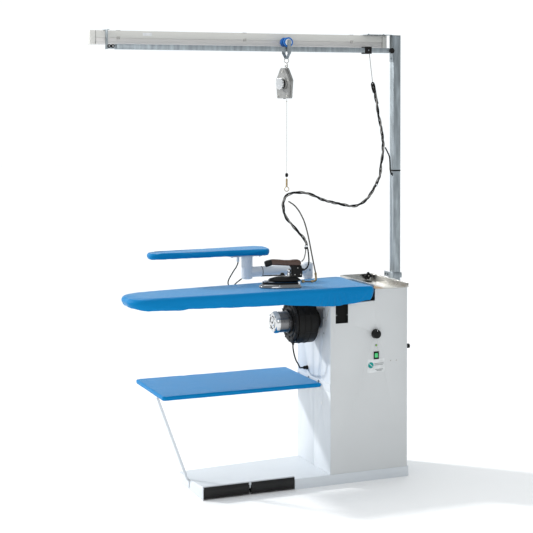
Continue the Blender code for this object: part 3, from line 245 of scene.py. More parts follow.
def zinc(name, colour):
    """Galvanised steel: cold grey spangle with streaks."""
    metal = Finish(name, colour, 0.42, metallic=0.85)
    spangle = metal.texture("Voronoi", (1.0, 1.0, 0.45), scale=95.0)
    metal.stops(metal.noise(9.0, 5.0, (7.0, 7.0, 1.0)),
                (0.3, tint(colour, 0.72)), (0.55, colour), (0.75, tint(colour, 1.35)))
    metal.rough(spangle.outputs["Color"], 0.30, 0.55)
    metal.bump(spangle.outputs["Distance"], 0.0006, 0.12)
    return metal.material


def moulded(name, colour, roughness=0.45, grain=700.0, metallic=0.0):
    """Moulded plastic, rubber or cast metal: a fine spark-eroded grain and a trace of dust."""
    skin = Finish(name, colour, roughness, metallic)
    skin.set("Specular IOR Level", 0.16)
    dust = skin.noise(40.0, 4.0)
    skin.between(dust, tint(colour, 0.8), tint(colour, 1.5))
    skin.rough(dust, roughness - 0.1, roughness + 0.1)
    skin.bump(skin.noise(grain, 2.0), 0.0003, 0.35)
    return skin.material


def wood(name, dark, light):
    """Oiled wood with its grain along the handle."""
    oiled = Finish(name, dark, 0.42, coat=0.06)
    grain = oiled.noise(4.0, 8.0, (8.0, 60.0, 60.0), roughness=0.65)
    oiled.stops(grain, (0.35, dark), (0.55, light), (0.72, dark))
    oiled.bump(grain, 0.0004, 0.3)
    return oiled.material


def cork_mat(name):
    """Pressed cork: tan and brown granules."""
    mat = Finish(name, (0.36, 0.25, 0.16), 0.88)
    granules = mat.texture("Voronoi", scale=330.0)
    mat.stops(granules.outputs["Color"], (0.1, (0.25, 0.16, 0.10)), (0.5, (0.40, 0.28, 0.18)),
              (0.9, (0.52, 0.39, 0.27)))
    mat.bump(granules.outputs["Distance"], 0.0008, 0.5)
    return mat.material


def braid(name, dark, light):
    """A woven sleeve on a hose: crossing threads, a little frayed."""
    sleeve = Finish(name, dark, 0.75, sheen=0.2)
    first = sleeve.bands("DIAGONAL", 170.0, 1.0)
    second = sleeve.bands("DIAGONAL", 170.0, 1.0, (1, 1, -1))
    sleeve.between(first, dark, light)
    sleeve.bump(first, 0.0005, 0.5)
    sleeve.bump(second, 0.0005, 0.5)
    return sleeve.material


def lens(name, colour, glow):
    """A lit, slightly cloudy coloured lens."""
    glass = Finish(name, colour, 0.18, coat=0.5)
    glass.between(glass.noise(120.0, 3.0), tint(colour, 0.7), tint(colour, 1.5))
    glass.set("Emission Color", (*colour, 1.0))
    glass.set("Emission Strength", glow)
    return glass.material


def diffuser(name, colour):
    """The lamp's milky trough, with fine ribs along it."""
    milky = Finish(name, colour, 0.32, coat=0.3)
    milky.between(milky.noise(8.0, 3.0, (0.3, 3, 3)), tint(colour, 0.9), tint(colour, 1.08))
    milky.bump(milky.bands("Z", 70.0, 0.0), 0.0006, 0.25)
    return milky.material


BLUE_DEEP = (0.0, 0.170, 0.430)
BLUE_LIGHT = (0.0, 0.215, 0.510)
MATERIALS = {
    "white_paint": powder_coat("white_paint", (0.66, 0.695, 0.73)),
    # grey_paint is the white powder coat made darker because the front panel stands in shade: painted
    # shade, not a grey paint
    "grey_paint": powder_coat("grey_paint", (0.62, 0.635, 0.64)),
    "black_paint": powder_coat("black_paint", (0.006, 0.006, 0.006), 0.42, 1200.0),
    "black_plastic": moulded("black_plastic", (0.006, 0.006, 0.006), 0.40),
    "blue_cloth": cloth("blue_cloth", BLUE_DEEP, BLUE_LIGHT),
    "stainless": brushed("stainless", (0.56, 0.55, 0.52), 0.24),
    "polished_sole": brushed("polished_sole", (0.24, 0.25, 0.26), 0.12, (1.0, 8.0, 8.0)),
    "chrome": brushed("chrome", (0.66, 0.67, 0.68), 0.12, (1.0, 8.0, 8.0)),
    "galvanised": zinc("galvanised", (0.33, 0.37, 0.395)),
    "cork": cork_mat("cork"),
    "brass": brushed("brass", (0.36, 0.27, 0.15), 0.32, (8.0, 8.0, 8.0)),
    "cast_alloy": moulded("cast_alloy", (0.27, 0.27, 0.262), 0.42, 500.0, 0.7),
    "dark_wood": wood("dark_wood", (0.030, 0.014, 0.009), (0.085, 0.040, 0.026)),
    "green_lens": lens("green_lens", (0.03, 0.36, 0.11), 0.5),
    "lamp_grey": powder_coat("lamp_grey", (0.70, 0.69, 0.655), 0.38),
    "lamp_diffuser": diffuser("lamp_diffuser", (0.66, 0.64, 0.62)),
    "black_rubber": moulded("black_rubber", (0.007, 0.007, 0.007), 0.55),
    "grey_braid": braid("grey_braid", (0.10, 0.095, 0.09), (0.30, 0.285, 0.265)),
    "nylon": moulded("nylon", (0.02, 0.13, 0.42), 0.35),
    "white_nylon": moulded("white_nylon", (0.70, 0.72, 0.74), 0.40),
    "label_film": moulded("label_film", (0.60, 0.615, 0.62), 0.35),
    "pilot_green": lens("pilot_green", (0.12, 0.30, 0.02), 0.4),
    "dark_steel": brushed("dark_steel", (0.20, 0.20, 0.205), 0.25),
    # dark_void: a near-black stand-in for the shade inside holes, vent gaps and the cabinet's opening:
    # painted shade
    "dark_void": moulded("dark_void", (0.006, 0.006, 0.006), 0.8),
    "teal_print": moulded("teal_print", (0.01, 0.26, 0.24), 0.45),
    "grey_print": moulded("grey_print", (0.20, 0.22, 0.22), 0.5),
    "hose_sleeve": braid("hose_sleeve", (0.05, 0.045, 0.04), (0.15, 0.13, 0.11)),
}


# ---------------------------------------------------------------- mesh helpers
def piece(name, points, faces, material, body, angle=35.0):
    """A mesh object from points and faces, smooth but for its sharp edges, riding on a body."""
    mesh = bpy.data.meshes.new(name)
    mesh.from_pydata([tuple(p) for p in points], [], faces)
    work = bmesh.new()
    work.from_mesh(mesh)
    bmesh.ops.remove_doubles(work, verts=work.verts, dist=0.00001)
    bmesh.ops.recalc_face_normals(work, faces=work.faces)
    work.to_mesh(mesh)
    work.free()
    item = bpy.data.objects.new(name, mesh)
    bpy.context.scene.collection.objects.link(item)
    dress(item, material, angle)
    if body:
        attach(item, body)
    return item


def dress(item, material, angle):
    item.data.materials.clear()
    item.data.materials.append(MATERIALS[material])
    item.data.shade_smooth()
    item.data.set_sharp_from_angle(angle=math.radians(angle))


def soften(item, width, angle=40.0):
    """A two-step rounding of the item's sharp edges."""
    step = item.modifiers.new("bevel", "BEVEL")
    step.width = width
    step.segments = 2
    step.limit_method = "ANGLE"
    step.angle_limit = math.radians(angle)
    step.harden_normals = False
    return item


def row_faces(rows, count):
    """Quads between rows of points, each row closed on itself."""
    return [(row * count + step, row * count + (step + 1) % count,
             (row + 1) * count + (step + 1) % count, (row + 1) * count + step)
            for row in range(rows - 1) for step in range(count)]


def turn_to(axis):
    """The turn that takes straight up to an axis."""
    return Vector(UP).rotation_difference(Vector(axis)).to_matrix()


class Shape:
    """Points and faces gathered from several simple solids into one piece."""

    def __init__(self, turn=ON_CORNER):
        self.points = []
        self.faces = []
        self.turn = turn

    def add(self, points, faces):
        start = len(self.points)
        self.points += [self.turn @ Vector(p) for p in points]
        self.faces += [tuple(start + i for i in face) for face in faces]
        return self

    def box(self, low, high):
        x0, y0, z0 = low
        x1, y1, z1 = high
        corners = [(x0, y0, z0), (x1, y0, z0), (x1, y1, z0), (x0, y1, z0),
                   (x0, y0, z1), (x1, y0, z1), (x1, y1, z1), (x0, y1, z1)]
        sides = [(0, 3, 2, 1), (4, 5, 6, 7), (0, 1, 5, 4), (1, 2, 6, 5), (2, 3, 7, 6), (3, 0, 4, 7)]
        return self.add(corners, sides)

    def block(self, corners):
        """A six-sided solid from four corners and the four across from them."""
        return self.add(corners, [(0, 1, 2, 3), (7, 6, 5, 4), (0, 4, 5, 1), (1, 5, 6, 2),
                                  (2, 6, 7, 3), (3, 7, 4, 0)])

    def loft(self, sections):
        """A solid through closed sections that all have the same number of points."""
        count = len(sections[0])
        last = (len(sections) - 1) * count
        caps = [tuple(range(count)), tuple(range(last + count - 1, last - 1, -1))]
        return self.add([p for section in sections for p in section],
                        row_faces(len(sections), count) + caps)

    def lathe(self, profile, place, axis=UP, sides=32, wobble=None):
        """A turned solid: (radius, height) pairs from its top to its bottom."""
        turn = turn_to(axis)
        sections = []
        for radius, height in profile:
            section = []
            for step in range(sides):
                angle = 2 * math.pi * step / sides
                reach = radius * (wobble(angle) if wobble else 1.0)
                spot = Vector((reach * math.cos(angle), reach * math.sin(angle), height))
                section.append(Vector(place) + turn @ spot)
            sections.append(section)
        return self.loft(sections)

    def plate(self, outline, plane, low, high):
        """A flat outline between two levels across its plane: XY, XZ or YZ."""
        def lift(across, along, level):
            return {"XY": (across, along, level), "XZ": (across, level, along),
                    "YZ": (level, across, along)}[plane]
        count = len(outline)
        points = [lift(a, b, low) for a, b in outline] + [lift(a, b, high) for a, b in outline]
        faces = [tuple(range(count)), tuple(range(2 * count - 1, count - 1, -1))]
        faces += [(i, (i + 1) % count, count + (i + 1) % count, count + i) for i in range(count)]
        return self.add(points, faces)

    def tube(self, path, radius, sides=10):
        """A round tube along a path, with closed ends."""
        side = Vector((0.3, 1.0, 0.2))
        sections = []
        for index, spot in enumerate(path):
            ahead = (path[min(index + 1, len(path) - 1)] - path[max(index - 1, 0)]).normalized()
            if index == 0:
                side = ahead.cross(side).normalized()
            side = (side - ahead * side.dot(ahead)).normalized()
            up = ahead.cross(side)
            angles = [2 * math.pi * step / sides for step in range(sides)]
            sections.append([spot + (side * math.cos(angle) + up * math.sin(angle)) * radius
                             for angle in angles])
        return self.loft(sections)

    def screw(self, place, axis, radius=0.004):
        """A pan head."""
        return self.lathe([(radius * 0.3, radius * 0.62), (radius * 0.75, radius * 0.52),
                           (radius, radius * 0.15), (radius, 0.0)], place, axis, 16)

    def bolt(self, place, axis, radius=0.005):
        """A hexagon head on its washer."""
        self.lathe([(radius * 0.9, radius * 0.9), (radius, radius * 0.8), (radius, radius * 0.25)],
                   place, axis, 6)
        return self.lathe([(radius * 1.35, radius * 0.28), (radius * 1.4, 0.0)], place, axis, 20)

    def made(self, name, material, body, angle=35.0, node=None, slot=None):
        """The piece; where it shows in place of a CAD node, it hides that node. slot is not used."""
        item = piece(name, self.points, self.faces, material, body, angle)
        if node:
            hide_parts(node)
        return item


def iron_turn():
    tip = at(-0.745, 0.135, BOARD_TOP + 0.0006)
    return Matrix.Translation(tip) @ Matrix.Rotation(IRON_TURN, 4, "Z")


def balancer_turn():
    return Matrix.Translation(at(-0.588, 0.190, 0.0)) @ Matrix.Rotation(BALANCER_TURN, 4, "Z")


def rounded(corners, steps=8):
    """A closed outline with each corner (across, along, radius) rounded by an arc."""
    outline = []
    count = len(corners)
    for index, (across, along, radius) in enumerate(corners):
        here = Vector((across, along))
        before = Vector(corners[index - 1][:2]) - here
        after = Vector(corners[(index + 1) % count][:2]) - here
        half = before.angle(after) / 2
        reach = radius / math.tan(half)
        start = here + before.normalized() * reach
        end = here + after.normalized() * reach
        middle = (before.normalized() + after.normalized()).normalized()
        centre = here + middle * radius / math.sin(half)
        sweep = (start - centre).angle_signed(end - centre)
        for step in range(steps + 1):
            spoke = (start - centre).copy()
            spoke.rotate(Matrix.Rotation(-sweep * step / steps, 2))
            outline.append(tuple(centre + spoke))
    return outline


def smooth_route(route, spacing):
    """Points at even spacing along a smooth curve through the route's points."""
    points = [Vector(point) for point in route]
    ends = [2 * points[0] - points[1], *points, 2 * points[-1] - points[-2]]
    fine = [points[0]]
    for index in range(1, len(ends) - 2):
        a, b, c, d = ends[index - 1:index + 3]
        for step in range(1, 21):
            t = step / 20
            fine.append(0.5 * (2 * b + (c - a) * t + (2 * a - 5 * b + 4 * c - d) * t ** 2
                               + (3 * b - a - 3 * c + d) * t ** 3))
    lengths = [0.0]
    for before, after in zip(fine, fine[1:]):
        lengths.append(lengths[-1] + (after - before).length)
    count = max(2, round(lengths[-1] / spacing))
    even = []
    place = 0
    for step in range(count + 1):
        target = lengths[-1] * step / count
        while place < len(fine) - 2 and lengths[place + 1] < target:
            place += 1
        share = (target - lengths[place]) / (lengths[place + 1] - lengths[place])
        even.append(fine[place].lerp(fine[place + 1], min(1.0, share)))
    return even


def length_of(path):
    return sum((b - a).length for a, b in zip(path, path[1:]))


# ---------------------------------------------------------------- camera, floor and lights
def add_object(name, data, place=(0.0, 0.0, 0.0), aim=None):
    """An object in the scene, turned so that it looks along aim where one is given."""
    item = bpy.data.objects.new(name, data)
    item.location = place
    if aim:
        item.rotation_euler = aim.to_track_quat("-Z", "Y").to_euler()
    bpy.context.scene.collection.objects.link(item)
    return item


def make_camera():
    """The view along which the object is shown."""
    data = bpy.data.cameras.new("camera")
    data.lens = 91.12
    data.sensor_width = 36.0
    data.shift_y = -0.2742
    item = add_object("camera", data, at(-3.209, -5.899, 1.885))
    item.rotation_euler = (math.radians(89.0), 0.0, math.radians(-22.518))
    bpy.context.scene.camera = item


def make_stage():
    """A pale floor, a bright surround, the sun from behind the left and two soft lights."""
    mesh = bpy.data.meshes.new("floor")
    size = 30.0
    mesh.from_pydata([(-size, -size, 0), (size, -size, 0), (size, size, 0), (-size, size, 0)], [],
                     [(0, 1, 2, 3)])
    pale = Finish("pale_floor", (0.99, 0.99, 0.99), 0.85)
    pale.between(pale.noise(0.8, 2.0), (0.985, 0.985, 0.985), (0.998, 0.998, 0.998))
    mesh.materials.append(pale.material)
    add_object("floor", mesh)
    make_surround()
    sun = bpy.data.lights.new("key", "SUN")
    sun.energy = 2.3
    sun.angle = math.radians(5.0)
    add_object("key", sun, aim=Vector((0.8, -0.75, -0.55)))
    target = Vector((-0.1, 0.0, 0.9))
    for name, spot, power, width in (("front", (-1.8, -4.6, 2.6), 35.0, 2.0),
                                     ("top", (-0.8, 0.4, 5.0), 40.0, 2.5)):
        data = bpy.data.lights.new(name, "AREA")
        data.energy = power
        data.size = width
        add_object(name, data, spot, target - Vector(spot))


def make_surround():
    """A white surround, brightest behind the object and dimmer on the operator's side."""
    world = bpy.data.worlds.new("surround")
    world.use_nodes = True
    tree = world.node_tree
    place = tree.nodes.new("ShaderNodeTexCoord")
    parts = tree.nodes.new("ShaderNodeSeparateXYZ")
    fade = tree.nodes.new("ShaderNodeMapRange")
    fade.inputs["From Min"].default_value = -0.3
    fade.inputs["From Max"].default_value = 0.7
    fade.inputs["To Min"].default_value = 0.58
    fade.inputs["To Max"].default_value = 1.07
    tree.links.new(place.outputs["Generated"], parts.inputs["Vector"])
    tree.links.new(parts.outputs["Y"], fade.inputs["Value"])
    tree.links.new(fade.outputs["Result"], tree.nodes["Background"].inputs["Strength"])
    tree.nodes["Background"].inputs["Color"].default_value = (0.945, 0.98, 1.0, 1.0)
    bpy.context.scene.world = world
    bpy.context.scene.view_settings.view_transform = "Standard"


# ---------------------------------------------------------------- cords
def twisted(path, reach, pitch, phase, start=0.0):
    """A strand that winds loosely round a path."""
    strand = []
    side = None
    walked = start
    for index, spot in enumerate(path):
        ahead = (path[min(index + 1, len(path) - 1)] - path[max(index - 1, 0)]).normalized()
        if side is None:
            side = ahead.cross(Vector((0.0, 1.0, 0.0))).normalized()
        side = (side - ahead * side.dot(ahead)).normalized()
        up = ahead.cross(side)
        if index:
            walked += (spot - path[index - 1]).length
        angle = phase + 2 * math.pi * walked / pitch
        loose = reach * (1.0 + 0.25 * math.sin(walked * 23.0 + phase))
        strand.append(spot + (side * math.cos(angle) + up * math.sin(angle)) * loose)
    return strand


def place_all(points):
    return [CORNER + p for p in points]


def make_bundle():
    """The bundle: a black cable and a woven hose twisted together, in two stretches that meet in
    the balancer's ring."""
    whole = smooth_route(BUNDLE_ROUTE, 0.006)
    split = int(len(whole) * RING_SHARE)
    upper = whole[:split + 1]
    lower = whole[split:]
    run = length_of(upper)
    pitch = 0.125
    for label, radius, reach, material, phase in (
            ("black_strand", CORD_RADIUS, 0.0044, "black_rubber", 0.0),
            ("woven_strand", 0.0033, 0.0044, "grey_braid", 3.3),
            ("thin_strand", 0.0022, 0.0050, "black_rubber", 1.6)):
        first = place_all(twisted(upper, reach, pitch, phase))
        second = place_all(twisted(lower, reach, pitch, phase, run))
        top = Shape(WORLD).tube(first, radius, 10).made("bundle_" + label, material, None)
        end = Shape(WORLD).tube(second, radius, 10).made("bundle_end_" + label, material, None)
        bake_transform(top)
        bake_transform(end)
        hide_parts("cable_bundle")


def make_top_loop():
    """The narrow loop of spare cable at the bundle's top, held by the thin hanging cord."""
    loop = [(-0.101, 0.186, 1.905), (-0.108, 0.186, 1.925), (-0.112, 0.187, 1.945),
            (-0.108, 0.189, 1.9555), (-0.100, 0.191, 1.9560), (-0.093, 0.193, 1.945),
            (-0.088, 0.194, 1.922), (-0.082, 0.194, 1.890), (-0.073, 0.193, 1.850)]
    path = place_all(smooth_route(loop, 0.004))
    item = Shape(WORLD).tube(path, CORD_RADIUS, 10).made("top_loop_cable", "black_rubber", "stand")


def make_cords():
    """The cords: each along its CAD route, a little finer than the CAD tube's facets."""
    make_bundle()
    make_top_loop()
    for name, node, route, radius, material, body, lay in (
            ("iron_black_tail", "iron_cable_tail", BLACK_TAIL_ROUTE, CORD_RADIUS, "black_rubber",
             "iron", "hanging"),
            ("iron_woven_tail", "handle_lead_tail", GREY_TAIL_ROUTE, THIN_CORD_RADIUS, "grey_braid",
             "iron", "hanging"),
            ("sleeve_switch_lead", "sleeve_lead", SLEEVE_LEAD_ROUTE, THIN_CORD_RADIUS, "black_rubber",
             "swing_arm", "hanging"),
            ("motor_cable", "motor_lead", MOTOR_LEAD_ROUTE, CORD_RADIUS, "black_rubber",
             "stand", "hanging"),
            ("post_cable", "post_lead", POST_LEAD_ROUTE, CORD_RADIUS, "black_rubber",
             "stand", "hanging"),
            ("hanging_cord", "loop_cord", LOOP_CORD_ROUTE, 0.0015, "grey_braid", "stand", "taut")):
        path = place_all(smooth_route(route, 0.004))
        item = Shape(WORLD).tube(path, radius, 12).made(name, material, body, node=node)
    path = place_all(smooth_route(HOSE_ROUTE, 0.005))
    hose = Shape(WORLD).tube(path, CORD_RADIUS, 12).made("steam_supply_hose", "hose_sleeve", None)
    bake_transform(hose)
    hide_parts("steam_hose")


# ---------------------------------------------------------------- cloth covers
def board_outline():
    right, front = -0.198, -0.024
    return [(right, front, 0.024), (right, front + 0.402, 0.030),
            (right - 1.234, front + 0.263, 0.120), (right - 1.234, front, 0.085)]


def sleeve_outline():
    right, front = -0.585, 0.355
    return [(right, front, 0.045), (right, front + 0.185, 0.060),
            (right - 0.638, front + 0.100, 0.045), (right - 0.638, front, 0.045)]


def shelf_outline():
    return [(-0.4315, 0.094, 0.010), (-0.4315, 0.536, 0.010),
            (-1.250, 0.536, 0.022), (-1.250, 0.094, 0.022)]


def edge_y(outline, x, front):
    """Where an outline crosses a station along X, on its front or its back side."""
    found = []
    for (ax, ay), (bx, by) in zip(outline, outline[1:] + outline[:1]):
        if min(ax, bx) <= x <= max(ax, bx) and ax != bx:
            found.append(ay + (by - ay) * (x - ax) / (bx - ax))
    return min(found) if front else max(found)


def ladder(corners, step=0.010):
    """The outline's points with the spine point behind each, in order round the board."""
    outline = rounded(corners, 14)
    low = min(p[0] for p in outline)
    high = max(p[0] for p in outline)
    left_half = (edge_y(outline, low + 0.15, False) - edge_y(outline, low + 0.15, True)) / 2
    right_half = (edge_y(outline, high - 0.20, False) - edge_y(outline, high - 0.20, True)) / 2
    start = low + left_half
    end = high - right_half
    count = max(2, round((end - start) / step))
    stations = [start + (end - start) * i / count for i in range(count + 1)]
    spine = [Vector((x, (edge_y(outline, x, True) + edge_y(outline, x, False)) / 2)) for x in stations]
    pairs = [(Vector((s.x, edge_y(outline, s.x, True))), s) for s in reversed(spine)]
    dense = dense_outline(outline, 0.006)
    tip = [p for p in dense if p.x < start - 0.002]
    tip.sort(key=lambda p: math.atan2(p.y - spine[0].y, -(p.x - spine[0].x)))
    pairs += [(p, spine[0]) for p in tip]
    pairs += [(Vector((s.x, edge_y(outline, s.x, False))), s) for s in spine]
    butt = [p for p in dense if p.x > end + 0.002]
    butt.sort(key=lambda p: -math.atan2(p.y - spine[-1].y, p.x - spine[-1].x))
    return pairs + [(p, spine[-1]) for p in butt]


def dense_outline(outline, step):
    """The outline's points again at even steps."""
    points = []
    for (ax, ay), (bx, by) in zip(outline, outline[1:] + outline[:1]):
        count = max(1, round(math.hypot(bx - ax, by - ay) / step))
        points += [Vector((ax + (bx - ax) * i / count, ay + (by - ay) * i / count)) for i in range(count)]
    return points


def along_line(line, x):
    """A height read from a few given (x, height) points."""
    if x <= line[0][0]:
        return line[0][1]
    for (ax, az), (bx, bz) in zip(line, line[1:]):
        if x <= bx:
            share = (x - ax) / (bx - ax)
            return az + (bz - az) * share * share * (3 - 2 * share)
    return line[-1][1]


def cover_points(corners, top, edge, skirt_rows, hem_height, folds, tuck):
    """Rows of points round a cover: from its spine over the soft edge and down the skirt to a
    rolled hem. folds(point, down) pushes the skirt out or in; tuck is the hem's return under."""
    pairs = ladder(corners)
    rows = []
    for share in (1.0, 0.86, 0.72, 0.58, 0.45, 0.33, 0.22, 0.14):
        rows.append([Vector((*rim.lerp(spine, share), top)) for rim, spine in pairs])
    for step in range(6):
        angle = math.pi / 2 * step / 5
        inset = edge * (1 - math.sin(angle))
        height = top - edge * (1 - math.cos(angle))
        rows.append([Vector((*(rim + (spine - rim).normalized() * inset), height)) for rim, spine in pairs])
    count = len(pairs)
    outward = []
    for index in range(count):
        before = pairs[index - 1][0]
        after = pairs[(index + 1) % count][0]
        side = after - before
        normal = Vector((side.y, -side.x)).normalized()
        if normal.dot(pairs[index][0] - pairs[index][1]) < 0:
            normal = -normal
        outward.append(normal)
    for step in range(1, skirt_rows + 1):
        down = step / skirt_rows
        row = []
        for (rim, spine), normal in zip(pairs, outward):
            hem = hem_height(rim)
            height = top - edge + (hem - top + edge) * down
            push = folds(rim, down)
            row.append(Vector((*(rim + normal * push), height)))
        rows.append(row)
    for under, lift in ((0.35, -0.0008), (1.0, 0.0012)):
        row = []
        for (rim, spine), normal in zip(pairs, outward):
            spot = rim + normal * (folds(rim, 1.0) - tuck * under)
            row.append(Vector((*spot, hem_height(rim) + lift)))
        rows.append(row)
    return rows


def cover_piece(name, rows):
    """The rows joined into one cloth mesh."""
    points = [CORNER + p for row in rows for p in row]
    return piece(name, points, row_faces(len(rows), len(rows[0])), "blue_cloth", None, 80.0)


def simulate_cloth(item, growth, pressure, reach, still_below, frames=14):
    """Lets a slightly oversized cover settle in a cloth simulation, pinned at its hem, and keeps
    what it became, no point further than reach from where it was made."""
    made = [v.co.copy() for v in item.data.vertices]
    group = item.vertex_groups.new(name="pinned")
    group.add([i for i, p in enumerate(made) if p.z < still_below], 1.0, "REPLACE")
    step = item.modifiers.new("cloth", "CLOTH")
    settings = step.settings
    settings.quality = 5
    settings.mass = 0.2
    settings.tension_stiffness = 25.0
    settings.compression_stiffness = 12.0
    settings.bending_stiffness = 0.8
    settings.shrink_min = -growth
    settings.use_pressure = True
    settings.uniform_pressure_force = pressure
    settings.vertex_group_mass = "pinned"
    settings.effector_weights.gravity = 0.0
    step.collision_settings.use_collision = False
    scene = bpy.context.scene
    scene.frame_start = 1
    scene.frame_end = frames
    step.point_cache.frame_start = 1
    step.point_cache.frame_end = frames
    for frame_number in range(1, frames + 1):
        scene.frame_set(frame_number)
    ready = item.evaluated_get(bpy.context.evaluated_depsgraph_get())
    settled = [v.co.copy() for v in ready.data.vertices]
    item.modifiers.remove(step)
    for vertex, before, after in zip(item.data.vertices, made, settled):
        shift = after - before
        if shift.length > reach:
            shift = shift.normalized() * reach
        vertex.co = before + shift
    scene.frame_set(1)


def crumple(spot, scale, seed):
    """A soft random value between about -1 and 1."""
    return noise.noise(Vector((spot[0] * scale, spot[1] * scale, seed)))


BOARD_HEM = [(-1.432, 0.917), (-1.340, 0.904), (-0.690, 0.893), (-0.560, 0.884), (-0.450, 0.872),
             (-0.420, 0.871), (-0.330, 0.879), (-0.222, 0.892), (-0.198, 0.902)]
BOARD_HEM_BEHIND = 0.8975
PUCKER = Vector((-0.430, -0.024))


def board_hem(rim):
    front = along_line(BOARD_HEM, rim.x)
    ripple = 0.0022 * crumple(rim, 22.0, 3.0)
    if rim.y > 0.0:
        share = min(1.0, rim.y / 0.05)
        front += (max(front, BOARD_HEM_BEHIND) - front) * share
    return front + ripple


def board_folds(rim, down):
    """The skirt leans in towards its hem; folds run up from the gathered spot in front."""
    lean = -0.010 * down ** 1.6
    ripple = 0.0034 * crumple(rim, 11.0, 7.0) * down + 0.0012 * crumple(rim, 60.0, 9.0) * down
    away = (rim - PUCKER).length
    gather = math.exp(-(away / 0.085) ** 2)
    fan = (rim.x - PUCKER.x) * (250.0 - 90.0 * down)
    folds = 0.0065 * gather * (math.sin(fan) - 0.6) * down ** 0.6
    return min(0.0, lean + ripple + folds)


def finish_cover(item, node, body, top):
    """The settled cover held level with its top, since the iron and the mounts count on that
    height, then smoothed and put in its node's place."""
    for vertex in item.data.vertices:
        vertex.co.z = min(vertex.co.z, top)
    step = item.modifiers.new("smooth", "SUBSURF")
    step.levels = 1
    step.render_levels = 1
    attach(item, body)
    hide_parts(node)


def make_board_cover():
    rows = cover_points(board_outline(), BOARD_TOP - 0.0006, 0.019, 9, board_hem, board_folds, 0.006)
    item = cover_piece("board_cloth_cover", rows)
    simulate_cloth(item, 0.012, 1.2, 0.0028, BOARD_TOP - 0.060)
    finish_cover(item, "board_cover", "stand", BOARD_TOP + 0.0002)


def make_sleeve_cloth():
    def hem(rim):
        dip = 0.004 * math.exp(-((rim.x + 0.610) / 0.045) ** 2)
        return 1.0905 - dip * (rim.y < 0.45) + 0.0016 * crumple(rim, 30.0, 5.0)

    def folds(rim, down):
        near = math.exp(-(((rim.x + 0.655) / 0.03) ** 2)) * 0.003 * math.sin(rim.x * 260.0)
        return min(0.0, -0.006 * down ** 1.5 + (0.0025 * crumple(rim, 16.0, 2.0) + near) * down)
    rows = cover_points(sleeve_outline(), SLEEVE_TOP - 0.0005, 0.015, 6, hem, folds, 0.020)
    item = cover_piece("sleeve_cloth_cover", rows)
    simulate_cloth(item, 0.012, 1.2, 0.0022, SLEEVE_TOP - 0.026)
    finish_cover(item, "sleeve_cover", "swing_arm", SLEEVE_TOP)


def make_shelf_cloth():
    def hem(rim):
        return 0.4605 + 0.0006 * crumple(rim, 24.0, 6.0)

    def folds(rim, down):
        return min(0.0, -0.003 * down ** 1.4 + 0.0012 * crumple(rim, 14.0, 4.0) * down)
    rows = cover_points(shelf_outline(), SHELF_TOP - 0.0005, 0.007, 4, hem, folds, 0.006)
    item = cover_piece("shelf_cloth_cover", rows)
    simulate_cloth(item, 0.010, 0.8, 0.0016, SHELF_TOP - 0.015)
    finish_cover(item, "shelf_cover", "stand", SHELF_TOP)


# ---------------------------------------------------------------- cabinet fittings
KNOB_PLACE = (-0.184, 0.0, 0.722)
PILOT_PLACE = (-0.180, 0.0, 0.6645)


def make_controls():
    """The thermostat's knob, its mark and its scale, and the pilot lamp."""
    knob = Shape()
    knob.lathe([(0.0150, 0.0220), (0.0195, 0.0216), (0.0210, 0.0200), (0.0214, 0.0120), (0.0216, 0.0062),
                (0.0228, 0.0050), (0.0230, 0.0004)], KNOB_PLACE, FRONT, 96,
               lambda angle: 1.0 + 0.014 * math.cos(24 * angle))
    knob.lathe([(0.0120, 0.0228), (0.0130, 0.0222), (0.0132, 0.0210)], KNOB_PLACE, FRONT, 40)
    knob.lathe([(0.004, 0.0004), (0.004, -0.018)], KNOB_PLACE, FRONT, 20)
    knob.made("thermostat_grip", "black_plastic", "thermostat_knob", node="thermostat_knob")
    mark = Shape()
    mark.box((-0.1850, -0.0231, 0.7355), (-0.1830, -0.0219, 0.7420))
    mark.made("thermostat_mark", "white_nylon", "thermostat_knob")
    scale = Shape()
    for step in range(11):
        angle = math.radians(225 - 27 * step)
        along = Vector((math.cos(angle), 0, math.sin(angle)))
        across = Vector((-along.z, 0, along.x))
        middle = Vector((-0.184, -0.0001, 0.722)) + along * 0.0275
        corners = [middle + along * a + across * b for a, b in (
            (-0.0018, -0.0004), (0.0018, -0.0004), (0.0018, 0.0004), (-0.0018, 0.0004))]
        scale.block(corners + [c + Vector((0, -0.0002, 0)) for c in corners])
    scale.made("thermostat_scale", "grey_print", "stand")
    lens_piece = Shape().lathe(
        [(0.0012, 0.0056), (0.0030, 0.0050), (0.0042, 0.0036), (0.0044, 0.0010), (0.0040, -0.018)],
        PILOT_PLACE, FRONT, 32)
    lens_piece.made("pilot_lens", "pilot_green", "stand", node="pilot_lamp", slot="green_lens")
    bezel = Shape().lathe([(0.0046, 0.0022), (0.0058, 0.0018), (0.0064, 0.0004)], PILOT_PLACE, FRONT)
    bezel.made("pilot_bezel", "grey_print", "stand")


def make_label():
    """A generic label: a teal disc with a pale bar across it, and blank printed bars."""
    sheet = Shape().plate(
        rounded([(-0.228, 0.531, 0.003), (-0.134, 0.531, 0.003), (-0.134, 0.597, 0.003),
                 (-0.228, 0.597, 0.003)], 4), "XZ", -0.0004, -0.0001)
    sheet.made("label_sheet", "label_film", "stand")
    disc = Shape().lathe([(0.0148, 0.0008), (0.0150, 0.0004)], (-0.209, 0.0, 0.568), FRONT, 40)
    disc.made("label_disc", "teal_print", "stand")
    bars = Shape()
    for low, left, right in ((0.5735, -0.190, -0.140), (0.5665, -0.190, -0.144),
                             (0.5440, -0.186, -0.142), (0.5385, -0.178, -0.150)):
        bars.box((left, -0.0008, low), (right, -0.0004, low + 0.0030))
    bars.made("label_bars", "grey_print", "stand")
    slash = Shape()
    slash.plate([(-0.2190, 0.5760), (-0.2000, 0.5585), (-0.1985, 0.5605), (-0.2175, 0.5780)],
                "XZ", -0.0011, -0.0008)
    slash.made("label_slash", "white_nylon", "stand")


